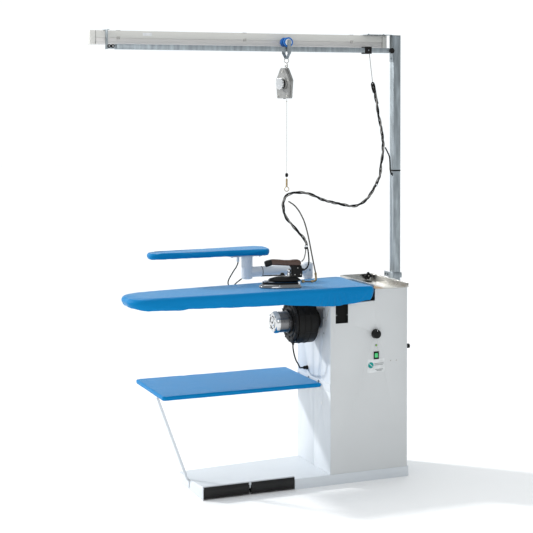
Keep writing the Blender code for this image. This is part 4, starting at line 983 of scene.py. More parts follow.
def make_cabinet_details():
    """Screws and bolts, a near-black sheet inside the opening as painted shade, the lip, the plug and the
    cover's rod.
    """
    screws = Shape()
    for x, z in ((-0.0998, 0.5826), (-0.0680, 0.5820)):
        screws.screw((x, 0.0, z), FRONT, 0.0032)
    for x in (-0.396, -0.218, -0.040):
        for z in (0.080, 0.480, 0.900):
            screws.screw((x, 0.392, z), BACK, 0.0042)
    for y in (0.030, 0.365):
        for z in (0.090, 0.500):
            screws.screw((-0.008, y, z), RIGHT, 0.0042)
    screws.made("panel_screws", "stainless", "stand")
    # a near-black sheet in dark_void behind the opening: painted shade of the cabinet's inside
    opening_shade = Shape()
    opening_shade.box((-0.4240, 0.012, 0.700), (-0.1900, 0.014, 0.8830))
    opening_shade.box((-0.3320, 0.012, 0.8830), (-0.1900, 0.014, 0.9140))
    opening_shade.box((-0.4240, 0.012, 0.700), (-0.1900, 0.030, 0.7020))
    opening_shade.made("opening_shade_sheet", "dark_void", "stand")
    tabs = Shape()
    tabs.box((-0.3992, 0.0025, 0.8215), (-0.3915, 0.0040, 0.8265))
    tabs.box((-0.3385, 0.0025, 0.8215), (-0.3335, 0.0040, 0.8265))
    tabs.made("opening_tabs", "grey_print", "stand")
    lip = Shape()
    lip.plate([(-0.318, 0.8740), (-0.229, 0.8790), (-0.215, 0.8840), (-0.229, 0.8845), (-0.325, 0.8800)],
              "XZ", -0.0100, -0.0020)
    soften(lip.made("board_support_lip", "white_paint", "stand"), 0.001)
    plug = Shape().lathe([(0.0045, 0.0016), (0.0070, 0.0012), (0.0078, 0.0002)],
                         (-0.428, 0.102, 0.3805), LEFT, 28)
    plug.made("hole_plug", "white_nylon", "stand")
    rod_line = [(-0.4300, 0.011, 0.858), (-0.4310, 0.020, 0.838), (-0.4310, 0.048, 0.793)]
    rod = Shape().tube(smooth_route(rod_line, 0.004), 0.0016, 8)
    rod.made("cover_tension_rod", "stainless", "stand")
    bolts = Shape()
    for y, z in ((0.370, 0.475), (0.130, 0.483), (0.250, 0.479)):
        bolts.bolt((-0.4303, y, z), LEFT, 0.0048)
    for y, z in ((0.074, 0.848), (0.076, 0.803), (0.076, 0.728)):
        bolts.lathe([(0.0028, 0.0010), (0.0044, 0.0008), (0.0046, 0.0002)], (-0.428, y, z), LEFT, 16)
    bolts.made("side_wall_bolts", "galvanised", "stand")


def make_inlet():
    """The water inlet: a flange, a hexagon nut, a threaded neck and a black cap."""
    place = (-0.008, 0.045, 0.640)
    brass = Shape()
    brass.lathe([(0.0115, 0.0045), (0.0122, 0.0035), (0.0122, 0.0004)], place, RIGHT, 32)
    brass.lathe([(0.0100, 0.0118), (0.0112, 0.0108), (0.0112, 0.0050), (0.0100, 0.0045)], place, RIGHT, 6)
    threads = [(0.0058 + 0.0005 * (step % 2), 0.0220 - 0.0010 * step) for step in range(11)]
    brass.lathe(threads, place, RIGHT, 24)
    brass.lathe([(0.0056, 0.0004), (0.0056, -0.018)], place, RIGHT, 20)
    brass.made("inlet_fitting", "brass", "stand", node="water_inlet")
    cap = Shape().lathe(
        [(0.0080, 0.0365), (0.0105, 0.0355), (0.0112, 0.0335), (0.0112, 0.0215), (0.0100, 0.0205)],
        place, RIGHT, 64, lambda angle: 1.0 + 0.03 * math.cos(16 * angle))
    cap.made("inlet_cap", "black_plastic", "stand")


def make_gland():
    """The nut and ribbed gland by which the motor's cable enters the side wall."""
    gland = Shape()
    place = (-0.428, 0.270, 0.5246)
    gland.lathe([(0.0098, 0.0075), (0.0110, 0.0065), (0.0110, 0.0004)], place, LEFT, 6)
    gland.lathe([(0.0038, 0.0238), (0.0060, 0.0232), (0.0078, 0.0205), (0.0086, 0.0170), (0.0086, 0.0070)],
                place, LEFT, 48, lambda angle: 1.0 + 0.025 * math.cos(12 * angle))
    gland.lathe([(0.0060, 0.0004), (0.0060, -0.012)], place, LEFT, 16)
    gland.made("wall_gland", "black_plastic", "stand", node="cable_gland")


def make_star_knob():
    """The four-lobed knob at the tray's back corner, its shank and its insert."""
    star = Shape()
    place = (-0.037, 0.370, 0.9545)
    star.lathe([(0.0120, 0.0066), (0.0168, 0.0056), (0.0182, 0.0032), (0.0182, -0.0032), (0.0168, -0.0056),
                (0.0110, -0.0066)], place, FRONT, 64, lambda angle: 0.90 + 0.17 * math.cos(4 * angle))
    star.lathe([(0.0075, -0.0058), (0.0065, -0.0120), (0.0040, -0.0130), (0.0040, -0.0460)],
               place, FRONT, 24)
    star.made("star_grip", "black_plastic", "star_knob", node="star_knob")
    insert = Shape().lathe([(0.0030, 0.0070), (0.0040, 0.0062), (0.0042, 0.0058)], place, FRONT, 24)
    insert.made("star_insert", "stainless", "star_knob")


def make_tray_details():
    """The screws round the tray."""
    screws = Shape()
    for y in (0.060, 0.200, 0.340):
        screws.screw((-0.0122, y, 0.9465), LEFT, 0.0026)
    for x in (-0.160, -0.085):
        screws.screw((x, 0.3880, 0.9480), FRONT, 0.0026)
    screws.screw((-0.078, 0.030, 0.9282), UP, 0.0034)
    screws.made("tray_screws", "galvanised", "stand")


def make_pedal_details():
    """The white divider between the pedals and the pressed line along each."""
    tick = Shape()
    tick.box((-0.8485, 0.0006, 0.034), (-0.8447, 0.0040, 0.060))
    tick.made("pedal_divider", "white_paint", "stand")
    for name, left, right in (("pedal_left", -1.0785, -0.8535), ("pedal_right", -0.8397, -0.6175)):
        ribs = Shape()
        for z in (0.0130, 0.0540):
            ribs.box((left + 0.004, -0.0006, z), (right - 0.004, 0.0001, z + 0.0012))
        ribs.made(name + "_swage", "black_paint", name)


# ---------------------------------------------------------------- fan and motor
FAN_Y, FAN_Z = 0.160, 0.783


def round_fan(x, radius, angle):
    """A place at an angle round the axis that the fan and its motor share."""
    return (x, FAN_Y + radius * math.cos(angle), FAN_Z + radius * math.sin(angle))


def make_fan():
    """The fan's ribbed front cover, the ribs round its housing and its screws."""
    front = Shape()
    place = (-0.5653, FAN_Y, FAN_Z)
    front.lathe([(0.0560, 0.0060), (0.0600, 0.0134), (0.0700, 0.0137), (0.0740, 0.0105), (0.0800, 0.0100),
                 (0.0840, 0.0128), (0.0900, 0.0130), (0.0960, 0.0095), (0.1015, 0.0075), (0.1020, 0.0004)],
                place, LEFT, 72)
    for spoke in range(12):
        angle = 2 * math.pi * spoke / 12
        along = Vector((0, math.cos(angle), math.sin(angle)))
        across = Vector((0, -math.sin(angle), math.cos(angle)))
        base = Vector(place)
        ends = [base + along * r + across * w + Vector((-x, 0, 0))
                for x in (0.004, 0.0137)
                for r, w in ((0.056, -0.0018), (0.100, -0.0012), (0.100, 0.0012), (0.056, 0.0018))]
        front.block(ends)
    front.made("fan_cover", "black_plastic", "stand", node="fan_front_plate")
    rim = Shape()
    lugs = Shape()
    for step in range(8):
        angle = 2 * math.pi * (step + 0.5) / 8
        if math.sin(angle) > 0.80:
            continue
        rim.lathe([(0.0070, 0.0900), (0.0080, 0.0885), (0.0080, 0.0140), (0.0070, 0.0120)],
                  round_fan(-0.5580, 0.1010, angle), RIGHT, 16)
        lugs.screw(round_fan(-0.5600, 0.1010, angle), LEFT, 0.0050)
    for ring_x in (-0.535, -0.505):
        rim.lathe([(0.1083, 0.0015), (0.1100, 0.0010), (0.1100, -0.0010), (0.1083, -0.0015)],
                  (ring_x, FAN_Y, FAN_Z), RIGHT, 72)
    rim.made("fan_ribs", "black_plastic", "stand")
    lugs.made("fan_screws", "galvanised", "stand")


def make_motor():
    """The motor: a ribbed can and a bright end cap with vent arcs."""
    can = Shape()
    place = (-0.5793, FAN_Y, FAN_Z)
    ribs = [(0.0500 + 0.0012 * (step % 2), 0.0640 - 0.0040 * step) for step in range(13)]
    can.lathe(ribs + [(0.0540, 0.0140), (0.0540, 0.0020), (0.0500, 0.0004)], place, LEFT, 64)
    can.made("motor_can", "dark_steel", "stand", node="motor_body", slot="stainless")
    cap = Shape()
    cap.lathe([(0.0100, 0.0880), (0.0180, 0.0884), (0.0200, 0.0870), (0.0230, 0.0860), (0.0400, 0.0862),
               (0.0460, 0.0850), (0.0520, 0.0800), (0.0538, 0.0760), (0.0538, 0.0640), (0.0500, 0.0630)],
              place, LEFT, 64)
    cap.made("motor_end_cap", "chrome", "stand")
    # dark discs in dark_void, in arcs and at the centre of the end cap: painted shade inside its vent holes
    vents = Shape()
    for arc in range(4):
        for step in range(5):
            angle = 2 * math.pi * arc / 4 + 0.22 * (step - 2) + 0.4
            vents.lathe([(0.0030, 0.0004), (0.0034, 0.0)], round_fan(-0.6656, 0.0300, angle), LEFT, 10)
    vents.lathe([(0.0050, 0.0010), (0.0060, 0.0)], (-0.6676, FAN_Y, FAN_Z), LEFT, 24)
    vents.made("motor_vent_shade_discs", "dark_void", "stand")
    studs = Shape()
    for step in range(4):
        angle = math.pi / 4 + math.pi / 2 * step
        studs.bolt(round_fan(-0.6635, 0.044, angle), LEFT, 0.0036)
    studs.made("motor_studs", "galvanised", "stand")


# ---------------------------------------------------------------- sleeve arm
def make_sleeve_arm():
    """The column, the arm that swings on it, and the riser that carries the sleeve board."""
    column = Shape()
    foot = (-0.362, 0.416, 0.0)
    column.lathe([(0.0160, 1.0370), (0.0190, 1.0360), (0.0200, 1.0340), (0.0200, 0.9697), (0.0258, 0.9695),
                  (0.0265, 0.9688), (0.0265, 0.9560), (0.0258, 0.9551), (0.0200, 0.9549), (0.0200, 0.7820),
                  (0.0190, 0.7800)], foot, UP, 48)
    for low in (0.800, 0.890):
        column.box((-0.384, 0.3923, low), (-0.340, 0.412, low + 0.035))
    soften(column.made("sleeve_column", "white_paint", "stand", node="arm_column"), 0.0008)
    arm = Shape()
    arm.lathe([(0.0204, 1.0310), (0.0258, 1.0310), (0.0270, 1.0298), (0.0270, 0.9712), (0.0258, 0.9700),
               (0.0204, 0.9700)], foot, UP, 48)
    arm.lathe([(0.0252, 0.2560), (0.0262, 0.2580), (0.0265, 0.2560), (0.0265, 0.0180)],
              (-0.362, 0.416, 1.0), LEFT, 48)
    arm.made("sleeve_arm_pipe", "white_paint", "swing_arm", node="sleeve_arm")
    riser = Shape()
    riser.lathe([(0.0245, 1.0872), (0.0272, 1.0868), (0.0285, 1.0850), (0.0285, 0.9720), (0.0272, 0.9680),
                 (0.0240, 0.9662), (0.0100, 0.9660)], (-0.698, 0.416, 0.0), UP, 48)
    riser.lathe([(0.0252, 0.0772), (0.0262, 0.0777), (0.0265, 0.0765), (0.0265, 0.0150)],
                (-0.698, 0.416, 1.0), RIGHT, 48)
    riser.box((-0.798, 0.381, 1.0825), (-0.628, 0.451, 1.0877))
    riser.lathe([(0.0068, 0.0290), (0.0070, 0.0010), (0.0060, 0.0)], (-0.748, 0.412, 1.055), UP, 24)
    soften(riser.made("sleeve_riser_pipe", "white_paint", "swing_arm", node="sleeve_riser"), 0.0008)
    band = Shape().lathe([(0.0268, 0.0016), (0.0274, 0.0010), (0.0274, -0.0010), (0.0268, -0.0016)],
                         (-0.6200, 0.416, 1.0), RIGHT, 48)
    band.made("arm_joint_ring", "black_rubber", "swing_arm")
    screws = Shape()
    for x in (-0.788, -0.638):
        for y in (0.391, 0.441):
            screws.bolt((x, y, 1.0822), DOWN, 0.0035)
    screws.lathe([(0.0040, 0.0100), (0.0050, 0.0090), (0.0050, 0.0)], (-0.362, 0.3900, 1.0), FRONT, 6)
    screws.made("arm_bolts", "galvanised", "swing_arm")


# ---------------------------------------------------------------- gantry details
def make_post_details():
    """The post's bolts, dark discs as painted shade in its clamp's empty holes, its top cap and the ties
    round it.
    """
    bolts = Shape()
    holes = Shape()
    # dark discs in dark_void: painted shade inside the clamp's empty holes
    for y in (0.222, 0.245):
        holes.lathe([(0.0048, 0.0004), (0.0050, 0.0001)], (0.0001, y, 0.9785), LEFT, 20)
    holes.made("clamp_hole_shade_discs", "dark_void", "stand")
    for z in (0.725, 0.9785):
        bolts.bolt((0.0500, 0.176, z), RIGHT, 0.0050)
        bolts.bolt((0.0500, 0.204, z), RIGHT, 0.0050)
    bolts.bolt((0.0000, 0.190, 2.078), LEFT, 0.0042)
    bolts.bolt((0.0440, 0.190, 2.118), RIGHT, 0.0055)
    bolts.bolt((0.0440, 0.190, 2.165), RIGHT, 0.0055)
    for x in (-0.115, -0.030):
        bolts.bolt((x, 0.215, 2.1996), UP, 0.0045)
    for z in (2.115, 2.150):
        bolts.bolt((-1.4922, 0.190, z), LEFT, 0.0042)
    bolts.made("gantry_bolts", "galvanised", "stand")
    caps = Shape()
    caps.box((0.0045, 0.1705, 2.1935), (0.0435, 0.2095, 2.1962))
    caps.box((-0.0052, 0.1745, 2.1095), (-0.0010, 0.2055, 2.1285))
    caps.lathe([(0.0120, 0.0050), (0.0135, 0.0038), (0.0140, 0.0)], (-0.0060, 0.170, 2.118), FRONT, 24)
    caps.made("gantry_end_caps", "black_rubber", "stand")
    bands = Shape()
    outline = rounded([(0.00304, 0.1690, 0.002), (0.0450, 0.1690, 0.002),
                       (0.0450, 0.2110, 0.002), (0.00304, 0.2110, 0.002)], 3)
    for z in (1.511, 0.972):
        bands.plate(outline, "XY", z - 0.0035, z + 0.0035)
    bands.made("post_ties", "black_rubber", "stand")


def make_rail_details():
    """The rollers at the rail's end, the lamp's clips, seams and blank label, and the stop's screw."""
    rollers = Shape()
    centres = Shape()
    for x in (-1.466, -1.484):
        rollers.lathe([(0.0030, 0.0060), (0.0075, 0.0055), (0.0085, 0.0040), (0.0085, 0.0003)],
                      (x, 0.172, 2.121), FRONT, 28)
        centres.screw((x, 0.1662, 2.121), FRONT, 0.0028)
    rollers.made("rail_end_rollers", "black_plastic", "stand")
    centres.made("roller_screws", "white_nylon", "stand")
    clips = Shape()
    for x in (-1.420, -0.780, -0.200):
        clips.box((x - 0.008, 0.2355, 2.1560), (x + 0.008, 0.2369, 2.1685))
        clips.box((x - 0.010, 0.2370, 2.1970), (x + 0.010, 0.2870, 2.1982))
    clips.made("lamp_clips", "stainless", "stand")
    seams = Shape()
    for x in (-1.530, -0.027):
        seams.box((x - 0.0007, 0.2364, 2.1305), (x + 0.0007, 0.2370, 2.1965))
    seams.made("lamp_cap_seams", "black_rubber", "stand")
    tape = Shape()
    tape.box((-1.300, 0.2367, 2.1745), (-1.255, 0.2370, 2.1880))
    tape.made("lamp_rating_label", "white_nylon", "stand")
    stop = Shape()
    stop.screw((-0.139, 0.1658, 2.119), FRONT, 0.0035)
    stop.made("stop_screw", "galvanised", "stand")


def make_trolley():
    """The trolley's folded plates and links, and its two wheels."""
    plates = Shape()
    x, y, axle = -0.5785, 0.190, RAIL_HIGH + 0.0213
    for side in (-1, 1):
        face = y + side * 0.0340
        outline = rounded([(x - 0.0095, 2.0960, 0.004), (x + 0.0095, 2.0960, 0.004),
                           (x + 0.0095, axle + 0.014, 0.009), (x - 0.0095, axle + 0.014, 0.009)], 6)
        plates.plate(outline, "XZ", face - 0.0014, face + 0.0014)
        foot = [(face - 0.0014, 2.0990), (face + 0.0014, 2.0960), (y + side * 0.0070, 2.0735),
                (y + side * 0.0040, 2.0735)]
        plates.plate(foot, "YZ", x - 0.0080, x + 0.0080)
    plates.box((x - 0.008, y - 0.0075, 2.0705), (x + 0.008, y + 0.0075, 2.0745))
    soften(plates.made("trolley_plates", "galvanised", "trolley"), 0.0006)
    links = Shape()
    torus(links, (x, y, 2.0625), 0.0115, 0.0021, BACK)
    torus(links, (x, y, 2.0405), 0.0105, 0.0021, (math.sin(-0.63), math.cos(0.63), 0))
    links.made("trolley_links", "stainless", "trolley", node="trolley_frame", slot="galvanised")
    treads = Shape()
    rings = Shape()
    hubs = Shape()
    place = (x, y, axle)
    for side in (-1, 1):
        axis = (0, side, 0)
        treads.lathe([(0.0170, 0.0262), (0.0236, 0.0262), (0.0244, 0.0252), (0.0244, 0.0195),
                      (0.0210, 0.0182), (0.0210, 0.0085), (0.0170, 0.0080)], place, axis, 48)
        rings.lathe([(0.0105, 0.0268), (0.0150, 0.0274), (0.0168, 0.0266), (0.0170, 0.0090),
                     (0.0105, 0.0085)], place, axis, 40)
        hubs.lathe([(0.0035, 0.0384), (0.0062, 0.0376), (0.0066, 0.0360), (0.0066, 0.0268),
                    (0.0100, 0.0266), (0.0100, 0.0085)], place, axis, 32)
    hubs.lathe([(0.0040, 0.0086), (0.0040, -0.0086)], place, BACK, 20)
    treads.made("wheel_treads", "nylon", "trolley_wheels", node="trolley_wheels")
    rings.made("wheel_rings", "white_nylon", "trolley_wheels")
    hubs.made("wheel_hubs", "galvanised", "trolley_wheels")


def torus(shape, centre, radius, wire, axis, steps=36, sides=10):
    """A ring of round wire that faces along an axis."""
    turn = turn_to(axis)
    points = []
    faces = []
    for step in range(steps):
        around = 2 * math.pi * step / steps
        here = step * sides
        ahead = (step + 1) % steps * sides
        for side in range(sides):
            angle = 2 * math.pi * side / sides
            reach = radius + wire * math.cos(angle)
            spot = Vector((reach * math.cos(around), reach * math.sin(around), wire * math.sin(angle)))
            points.append(Vector(centre) + turn @ spot)
            after = (side + 1) % sides
            faces.append((here + side, ahead + side, ahead + after, here + after))
    return shape.add(points, faces)


def make_balancer():
    """The spring balancer: a cast drum housing with ribs and bolts, its knob, eye and wire guide."""
    section = [(-0.045, 1.877, 0.008), (0.045, 1.877, 0.008), (0.054, 1.968, 0.030),
               (0.017, 2.0265, 0.010), (-0.017, 2.0265, 0.010), (-0.054, 1.968, 0.030)]
    body = Shape(balancer_turn())
    body.plate(rounded(section, 10), "YZ", -0.0135, -0.0015)
    body.plate(rounded(section, 10), "YZ", 0.0015, 0.0135)
    seam = [(a * 0.94, 1.95 + (b - 1.95) * 0.94, r) for a, b, r in section]
    body.plate(rounded(seam, 10), "YZ", -0.002, 0.002)
    body.lathe([(0.0310, 0.0165), (0.0335, 0.0160), (0.0345, 0.0130)], (0, 0, 1.949), LEFT, 56)
    body.lathe([(0.0260, 0.0160), (0.0300, 0.0150), (0.0310, 0.0130)], (0, 0, 1.949), RIGHT, 56)
    soften(body.made("balancer_housing", "cast_alloy", "trolley", node="balancer_body"), 0.0012)
    groove = Shape(balancer_turn())
    groove.lathe([(0.0225, 0.0236), (0.0240, 0.0232), (0.0240, 0.0166), (0.0225, 0.0164)], (0, 0, 1.949),
                 LEFT, 48)
    groove.lathe([(0.0020, 0.0145), (0.0052, 0.0130), (0.0062, 0.0060), (0.0055, 0.0)], (0, 0.002, 1.8745),
                 UP, 28)
    groove.made("balancer_black_parts", "black_plastic", "trolley")
    bolts = Shape(balancer_turn())
    for y, z in ((-0.0380, 1.8880), (0.0380, 1.8880), (0.0450, 1.9650), (-0.0450, 1.9650), (0.0, 2.0100)):
        bolts.bolt((-0.0135, y, z), LEFT, 0.0042)
        bolts.bolt((0.0135, y, z), RIGHT, 0.0042)
    hook = [(0.0, 0.0, 2.0240), (0.0, 0.0, 2.0300), (0.0050, 0.0, 2.0350), (0.0085, 0.0, 2.0415),
            (0.0040, 0.0, 2.0470), (-0.0040, 0.0, 2.0470), (-0.0080, 0.0, 2.0420)]
    bolts.tube(smooth_route([(x + 0.0095, y, z - 0.008) for x, y, z in hook], 0.0015), 0.0019, 10)
    bolts.made("balancer_bolts_and_hook", "stainless", "trolley")
    knob = Shape(balancer_turn())
    knob.lathe([(0.0210, 0.0340), (0.0265, 0.0336), (0.0285, 0.0325), (0.0290, 0.0300), (0.0290, 0.0262),
                (0.0275, 0.0244), (0.0225, 0.0240), (0.0218, 0.0170)], (0, 0, 1.949), LEFT, 144,
               lambda angle: 1.0 + 0.045 * math.cos(12 * angle))
    knob.lathe([(0.0060, 0.0350), (0.0110, 0.0346), (0.0120, 0.0335)], (0, 0, 1.949), LEFT, 32)
    knob.made("balancer_dial", "chrome", "balancer_knob", node="balancer_knob", slot="cast_alloy")


def make_wire():
    """The balancer's wire, down to the spring clip and the ring that carries the cables."""
    x, y = -0.577, 0.190
    run = [(x, y, 1.8745 - 0.4295 * step / 40) for step in range(41)]
    path = place_all([Vector(p) for p in run])
    wire = Shape(WORLD).tube(path, 0.0011, 8).made("balancer_rope", "stainless", "trolley",
                                                   node="balancer_wire")
    clip = Shape()
    clip.lathe([(0.0018, 1.4830), (0.0040, 1.4810), (0.0048, 1.4760), (0.0048, 1.4640), (0.0042, 1.4620),
                (0.0048, 1.4600), (0.0048, 1.4480), (0.0034, 1.4430), (0.0026, 1.4410)],
               (x, y, 0.0), UP, 28)
    torus(clip, (x, y, 1.4310), 0.0115, 0.0018, BACK)
    torus(clip, (x, y, 1.8620), 0.0022, 0.0012, UP)
    fitted = clip.made("wire_clip_and_ring", "brass", "trolley")
    ball = Shape().lathe([(0.0022, 0.0100), (0.0062, 0.0080), (0.0078, 0.0), (0.0062, -0.0080),
                          (0.0022, -0.0100)], (x, y, 1.500), UP, 28)
    stopper = ball.made("wire_stop_ball", "black_rubber", "trolley")


# ---------------------------------------------------------------- hand iron
def sole_outline(length, half_width, start, steps=26):
    """A flat-iron outline: a pointed front that swells to its full width, a square back."""
    side = []
    for step in range(1, steps + 1):
        share = step / steps
        swell = math.sin(share * math.pi / 2) ** 0.62
        along = start + 0.72 * (length - start) * (1 - math.cos(share * math.pi / 2))
        side.append((along, half_width * swell))
    side.append((length - 0.010, half_width * 0.97))
    side.append((length - 0.003, half_width * 0.97 - 0.003))
    side.append((length, half_width * 0.97 - 0.010))
    return [(start, 0.0), *[(x, -y) for x, y in side], *reversed(side)]


def sole_level(inset, height, length=0.200, half_width=0.057, start=0.0):
    outline = sole_outline(length - inset, half_width - inset, start + inset * 1.6)
    return [Vector((x, y, height)) for x, y in outline]


def make_sole():
    """The sole plate, a near-black band behind its vents as painted shade in the vent gaps, the fins
    between its vents and its studs.
    """
    sole = Shape(iron_turn())
    sole.loft([sole_level(0.0015, 0.0), sole_level(0.0003, 0.0015), sole_level(0.0, 0.0040),
               sole_level(0.0030, 0.0120), sole_level(0.0055, 0.0160), sole_level(0.0075, 0.0175)])
    sole.loft([sole_level(0.0120, 0.0270), sole_level(0.0100, 0.0276), sole_level(0.0096, 0.0286),
               sole_level(0.0180, 0.0330), sole_level(0.0240, 0.0342)])
    sole.made("sole_plate", "polished_sole", "iron", 28.0, node="iron_sole", slot="stainless")
    # a near-black band set in behind the vent fins, in dark_void: painted shade in the vent gaps
    band = Shape(iron_turn())
    band.loft([sole_level(0.0100, 0.0174), sole_level(0.0098, 0.0225), sole_level(0.0112, 0.0272)])
    band.made("sole_vent_shade_band", "dark_void", "iron")
    vents = Shape(iron_turn())
    outline = [Vector(p) for p in sole_outline(0.1900, 0.0470, 0.016)]
    for index in range(4, len(outline) - 4, 2):
        before = outline[index - 1]
        after = outline[index + 1]
        spot = outline[index]
        along = (after - before).normalized()
        normal = Vector((along.y, -along.x))
        if (spot - Vector((0.12, 0.0))).dot(normal) < 0:
            normal = -normal
        reach = min(0.0042, (after - before).length * 0.34)
        ends = [spot + along * a + normal * b
                for a, b in ((-reach, -0.002), (reach, -0.002), (reach, 0.0006), (-reach, 0.0006))]
        vents.plate([tuple(p) for p in ends], "XY", 0.0190, 0.0225)
    vents.made("sole_vent_fins", "black_plastic", "iron")
    stud = Shape(iron_turn())
    stud.lathe([(0.0022, 0.0040), (0.0034, 0.0030), (0.0036, 0.0)],
               (0.090, -0.0500, 0.0110), (0, -1, 0.25), 20)
    for y in (-0.0400, 0.0400):
        stud.lathe([(0.0060, 0.0130), (0.0068, 0.0115), (0.0068, 0.0)], (0.188, y, 0.0180), UP, 24)
    stud.made("sole_studs", "chrome", "iron")


def block_section(x_low, x_high, y_half, height, power=4.0, sides=40):
    """A rounded rectangle of points at one height."""
    middle = (x_low + x_high) / 2
    half = (x_high - x_low) / 2
    ring_points = []
    for step in range(sides):
        angle = 2 * math.pi * step / sides
        across = math.copysign(abs(math.cos(angle)) ** (2 / power), math.cos(angle))
        along = math.copysign(abs(math.sin(angle)) ** (2 / power), math.sin(angle))
        ring_points.append(Vector((middle + across * half, along * y_half, height)))
    return ring_points


def make_iron_body():
    """The iron's cover and rear housing, the steam knob and the screws."""
    body = Shape(iron_turn())
    body.loft([sole_level(inset, height, 0.198, 0.045, start) for inset, height, start in (
        (0.0, 0.0343, 0.046), (0.0, 0.0385, 0.046), (0.0020, 0.0410, 0.046),
        (0.0060, 0.0440, 0.046), (0.0180, 0.0500, 0.050), (0.0240, 0.0520, 0.054))])
    body.loft([block_section(*values) for values in (
        (0.140, 0.2110, 0.0240, 0.0480), (0.150, 0.2110, 0.0232, 0.0560), (0.158, 0.2120, 0.0225, 0.0700),
        (0.157, 0.2110, 0.0215, 0.0900), (0.150, 0.2085, 0.0200, 0.1020), (0.150, 0.2060, 0.0180, 0.1036))])
    body.lathe([(0.0046, 0.0160), (0.0062, 0.0140), (0.0066, 0.0)], (0.2050, 0.0, 0.0800), (1, 0, 0.25), 24)
    body.lathe([(0.0040, 0.0120), (0.0054, 0.0100), (0.0058, 0.0)], (0.1960, 0.0, 0.1120), (1, 0, 0.5), 24)
    body.made("iron_shell", "black_plastic", "iron", 40.0, node="iron_body")
    dome = Shape(iron_turn()).lathe(
        [(0.0020, 0.0895), (0.0060, 0.0880), (0.0088, 0.0845), (0.0096, 0.0790), (0.0088, 0.0735),
         (0.0070, 0.0700), (0.0078, 0.0660), (0.0092, 0.0600), (0.0096, 0.0500)],
        (0.146, 0.0, 0.0), UP, 36)
    dome.made("iron_chrome_dome", "chrome", "iron")
    screws = Shape(iron_turn())
    for x, z in ((0.172, 0.062), (0.200, 0.062), (0.186, 0.094)):
        screws.screw((x, -0.0222, z), FRONT, 0.0028)
        screws.screw((x, 0.0222, z), BACK, 0.0028)
    screws.made("iron_screws", "stainless", "iron")


GRIP_LINE = [(0.030, 0.1160), (0.046, 0.1205), (0.062, 0.1230), (0.090, 0.1215), (0.120, 0.1185),
             (0.150, 0.1170), (0.180, 0.1170), (0.203, 0.1150)]


def grip_section(x, centre, half_width, half_height, tilt=0.0, sides=36):
    """One rounded section across the handle."""
    points = []
    for step in range(sides):
        angle = 2 * math.pi * step / sides
        across = math.copysign(abs(math.cos(angle)) ** 0.75, math.cos(angle)) * half_width
        along = math.copysign(abs(math.sin(angle)) ** 0.75, math.sin(angle)) * half_height
        points.append(Vector((x + along * tilt, across, centre + along)))
    return points


def make_handle():
    """The wooden grip, its front cap and its saddle."""
    grip = Shape(iron_turn())
    sections = []
    for x, height in ((0.058, 0.0142), (0.075, 0.0146), (0.100, 0.0140), (0.125, 0.0136), (0.148, 0.0142),
                      (0.168, 0.0165), (0.188, 0.0170), (0.198, 0.0150), (0.203, 0.0110)):
        sections.append(grip_section(x, along_line(GRIP_LINE, x), 0.0158, height))
    grip.loft(sections)
    grip.made("handle_grip", "dark_wood", "iron", 60.0, node="iron_handle")
    nose = Shape(iron_turn())
    nose.loft([grip_section(*values) for values in (
        (0.0275, 0.1130, 0.0120, 0.0110, -0.25), (0.0300, 0.1135, 0.0148, 0.0140, -0.25),
        (0.0400, 0.1165, 0.0158, 0.0152, -0.22), (0.0520, 0.1200, 0.0160, 0.0148, -0.15),
        (0.0600, 0.1215, 0.0160, 0.0141, 0.0))])
    nose.made("handle_front_cap", "black_plastic", "iron", 50.0)
    saddle = Shape(iron_turn())
    saddle.loft([block_section(0.152, 0.2070, 0.0175, 0.1020),
                 block_section(0.150, 0.2055, 0.0165, 0.1060)])
    saddle.made("handle_saddle", "black_plastic", "iron", 50.0)


def make_lever():
    """The steam trigger under the grip."""
    lever = Shape(iron_turn())
    profile = [(0.016, 0.0575), (0.050, 0.0570), (0.090, 0.0572), (0.104, 0.0580), (0.106, 0.0668),
               (0.110, 0.0700), (0.119, 0.0698), (0.122, 0.0670), (0.123, 0.0600), (0.126, 0.0596),
               (0.126, 0.0622), (0.128, 0.0560), (0.104, 0.0552), (0.050, 0.0548), (0.018, 0.0556)]
    lever.plate(profile, "XZ", -0.0062, 0.0062)
    blade = [(0.016, 0.0), (0.022, -0.0045), (0.060, -0.0080), (0.126, -0.0088), (0.126, 0.0088),
             (0.060, 0.0080), (0.022, 0.0045)]
    lever.plate(blade, "XY", 0.0576, 0.0598)
    soften(lever.made("steam_trigger", "black_plastic", "iron_lever", node="iron_lever"), 0.0006)


def make_hose_fittings():
    """The brass elbow and the union by which the steam hose enters the iron."""
    elbow = Shape()
    bend = smooth_route([(-0.4590, 0.1055, 1.018), (-0.4592, 0.1010, 0.996), (-0.4640, 0.0985, 0.985),
                         (-0.4800, 0.0965, 0.9822)], 0.002)
    elbow.tube(bend, 0.0050, 16)
    nut = [(0.0052, 0.0050), (0.0066, 0.0040), (0.0066, -0.0040), (0.0052, -0.0050)]
    elbow.lathe(nut, (-0.4590, 0.1050, 1.018), (0, 0.25, 1), 6)
    elbow.lathe(nut, (-0.4820, 0.0963, 0.9822), RIGHT, 6)
    elbow.lathe([(0.0056, 0.0080), (0.0070, 0.0070), (0.0070, -0.0060), (0.0056, -0.0070)],
                (-0.5320, 0.0942, 0.9853), RIGHT, 6)
    elbow.made("steam_elbow_and_unions", "brass", "iron")


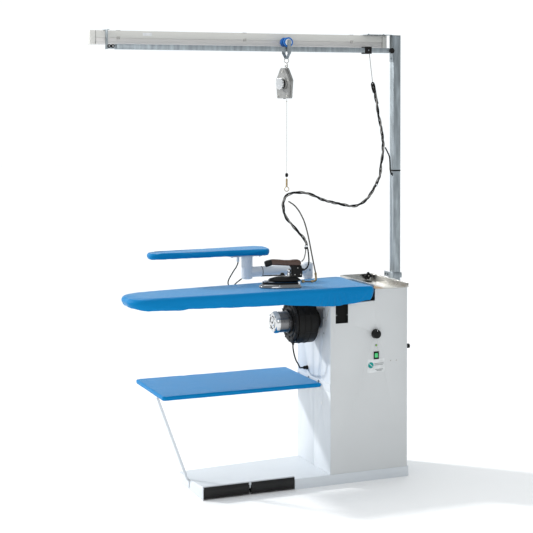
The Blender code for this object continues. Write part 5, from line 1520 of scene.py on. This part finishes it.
def make_ties():
    """Cable ties round the bundle, each a thin band with its small head."""
    for name, place, axis, body, material in (
            ("upper_tie", (-0.0810, 0.190, 1.4380), (0.55, 0.0, 0.85), "stand", "white_nylon"),
            ("lower_tie", (-0.5080, 0.1105, 1.1560), (0.1, 0.2, -0.95), "iron", "white_nylon"),
            ("ring_sleeve", (-0.5075, 0.1100, 1.1460), (0.1, 0.2, -0.95), "iron", "black_rubber")):
        tie = Shape()
        tie.lathe([(0.0088, 0.0030), (0.0096, 0.0024), (0.0096, -0.0024), (0.0088, -0.0030)],
                  place, axis, 28)
        tie.box((place[0] - 0.0030, place[1] - 0.0135, place[2] - 0.0030),
                (place[0] + 0.0030, place[1] - 0.0080, place[2] + 0.0030))
        tie.made(name, material, body)


# ---------------------------------------------------------------- CAD nodes shown as they are
SHARP_ANGLE = 32.0
EDGE_ROUNDING = {
    "base_tray": 0.0007, "pedal_left": 0.0007, "pedal_right": 0.0007, "front_panel": 0.0006,
    "side_panel_front": 0.0006, "side_panel_rear": 0.0006, "right_panel": 0.0006, "back_panel": 0.0006,
    "top_tray": 0.0005, "rest_mat": 0.0008, "switch_frame": 0.0007, "switch_rocker": 0.0007,
    "board_pan": 0.0006, "fan_volute": 0.0010, "shelf_bracket": 0.0006, "shelf_brace": 0.0010,
    "post": 0.0012, "post_clamp": 0.0006, "rail": 0.0009, "rail_end_bracket": 0.0006,
    "rail_head_bracket": 0.0006, "rail_stop": 0.0020, "lamp_housing": 0.0020, "lamp_diffuser": 0.0012,
}


def dress_frame():
    """Gives each CAD node its slot's material, and a small rounding where sheet or tube shows."""
    slots = {row["node"]: row["material_slot"] for row in frame["record"]["subparts"]}
    for node, item in frame["nodes"].items():
        dress(item, slots[node], SHARP_ANGLE)
        if node in EDGE_ROUNDING:
            weld = item.modifiers.new("weld", "WELD")
            weld.merge_threshold = 0.00002
            soften(item, EDGE_ROUNDING[node], SHARP_ANGLE)


for make in (
    make_camera, make_stage, dress_frame, make_board_cover, make_sleeve_cloth, make_shelf_cloth,
    make_controls, make_label, make_cabinet_details, make_inlet, make_gland, make_star_knob,
    make_tray_details, make_pedal_details, make_fan, make_motor, make_sleeve_arm, make_post_details,
    make_rail_details, make_trolley, make_balancer, make_wire, make_sole, make_iron_body, make_handle,
    make_lever, make_hose_fittings, make_ties, make_cords,
):
    make()
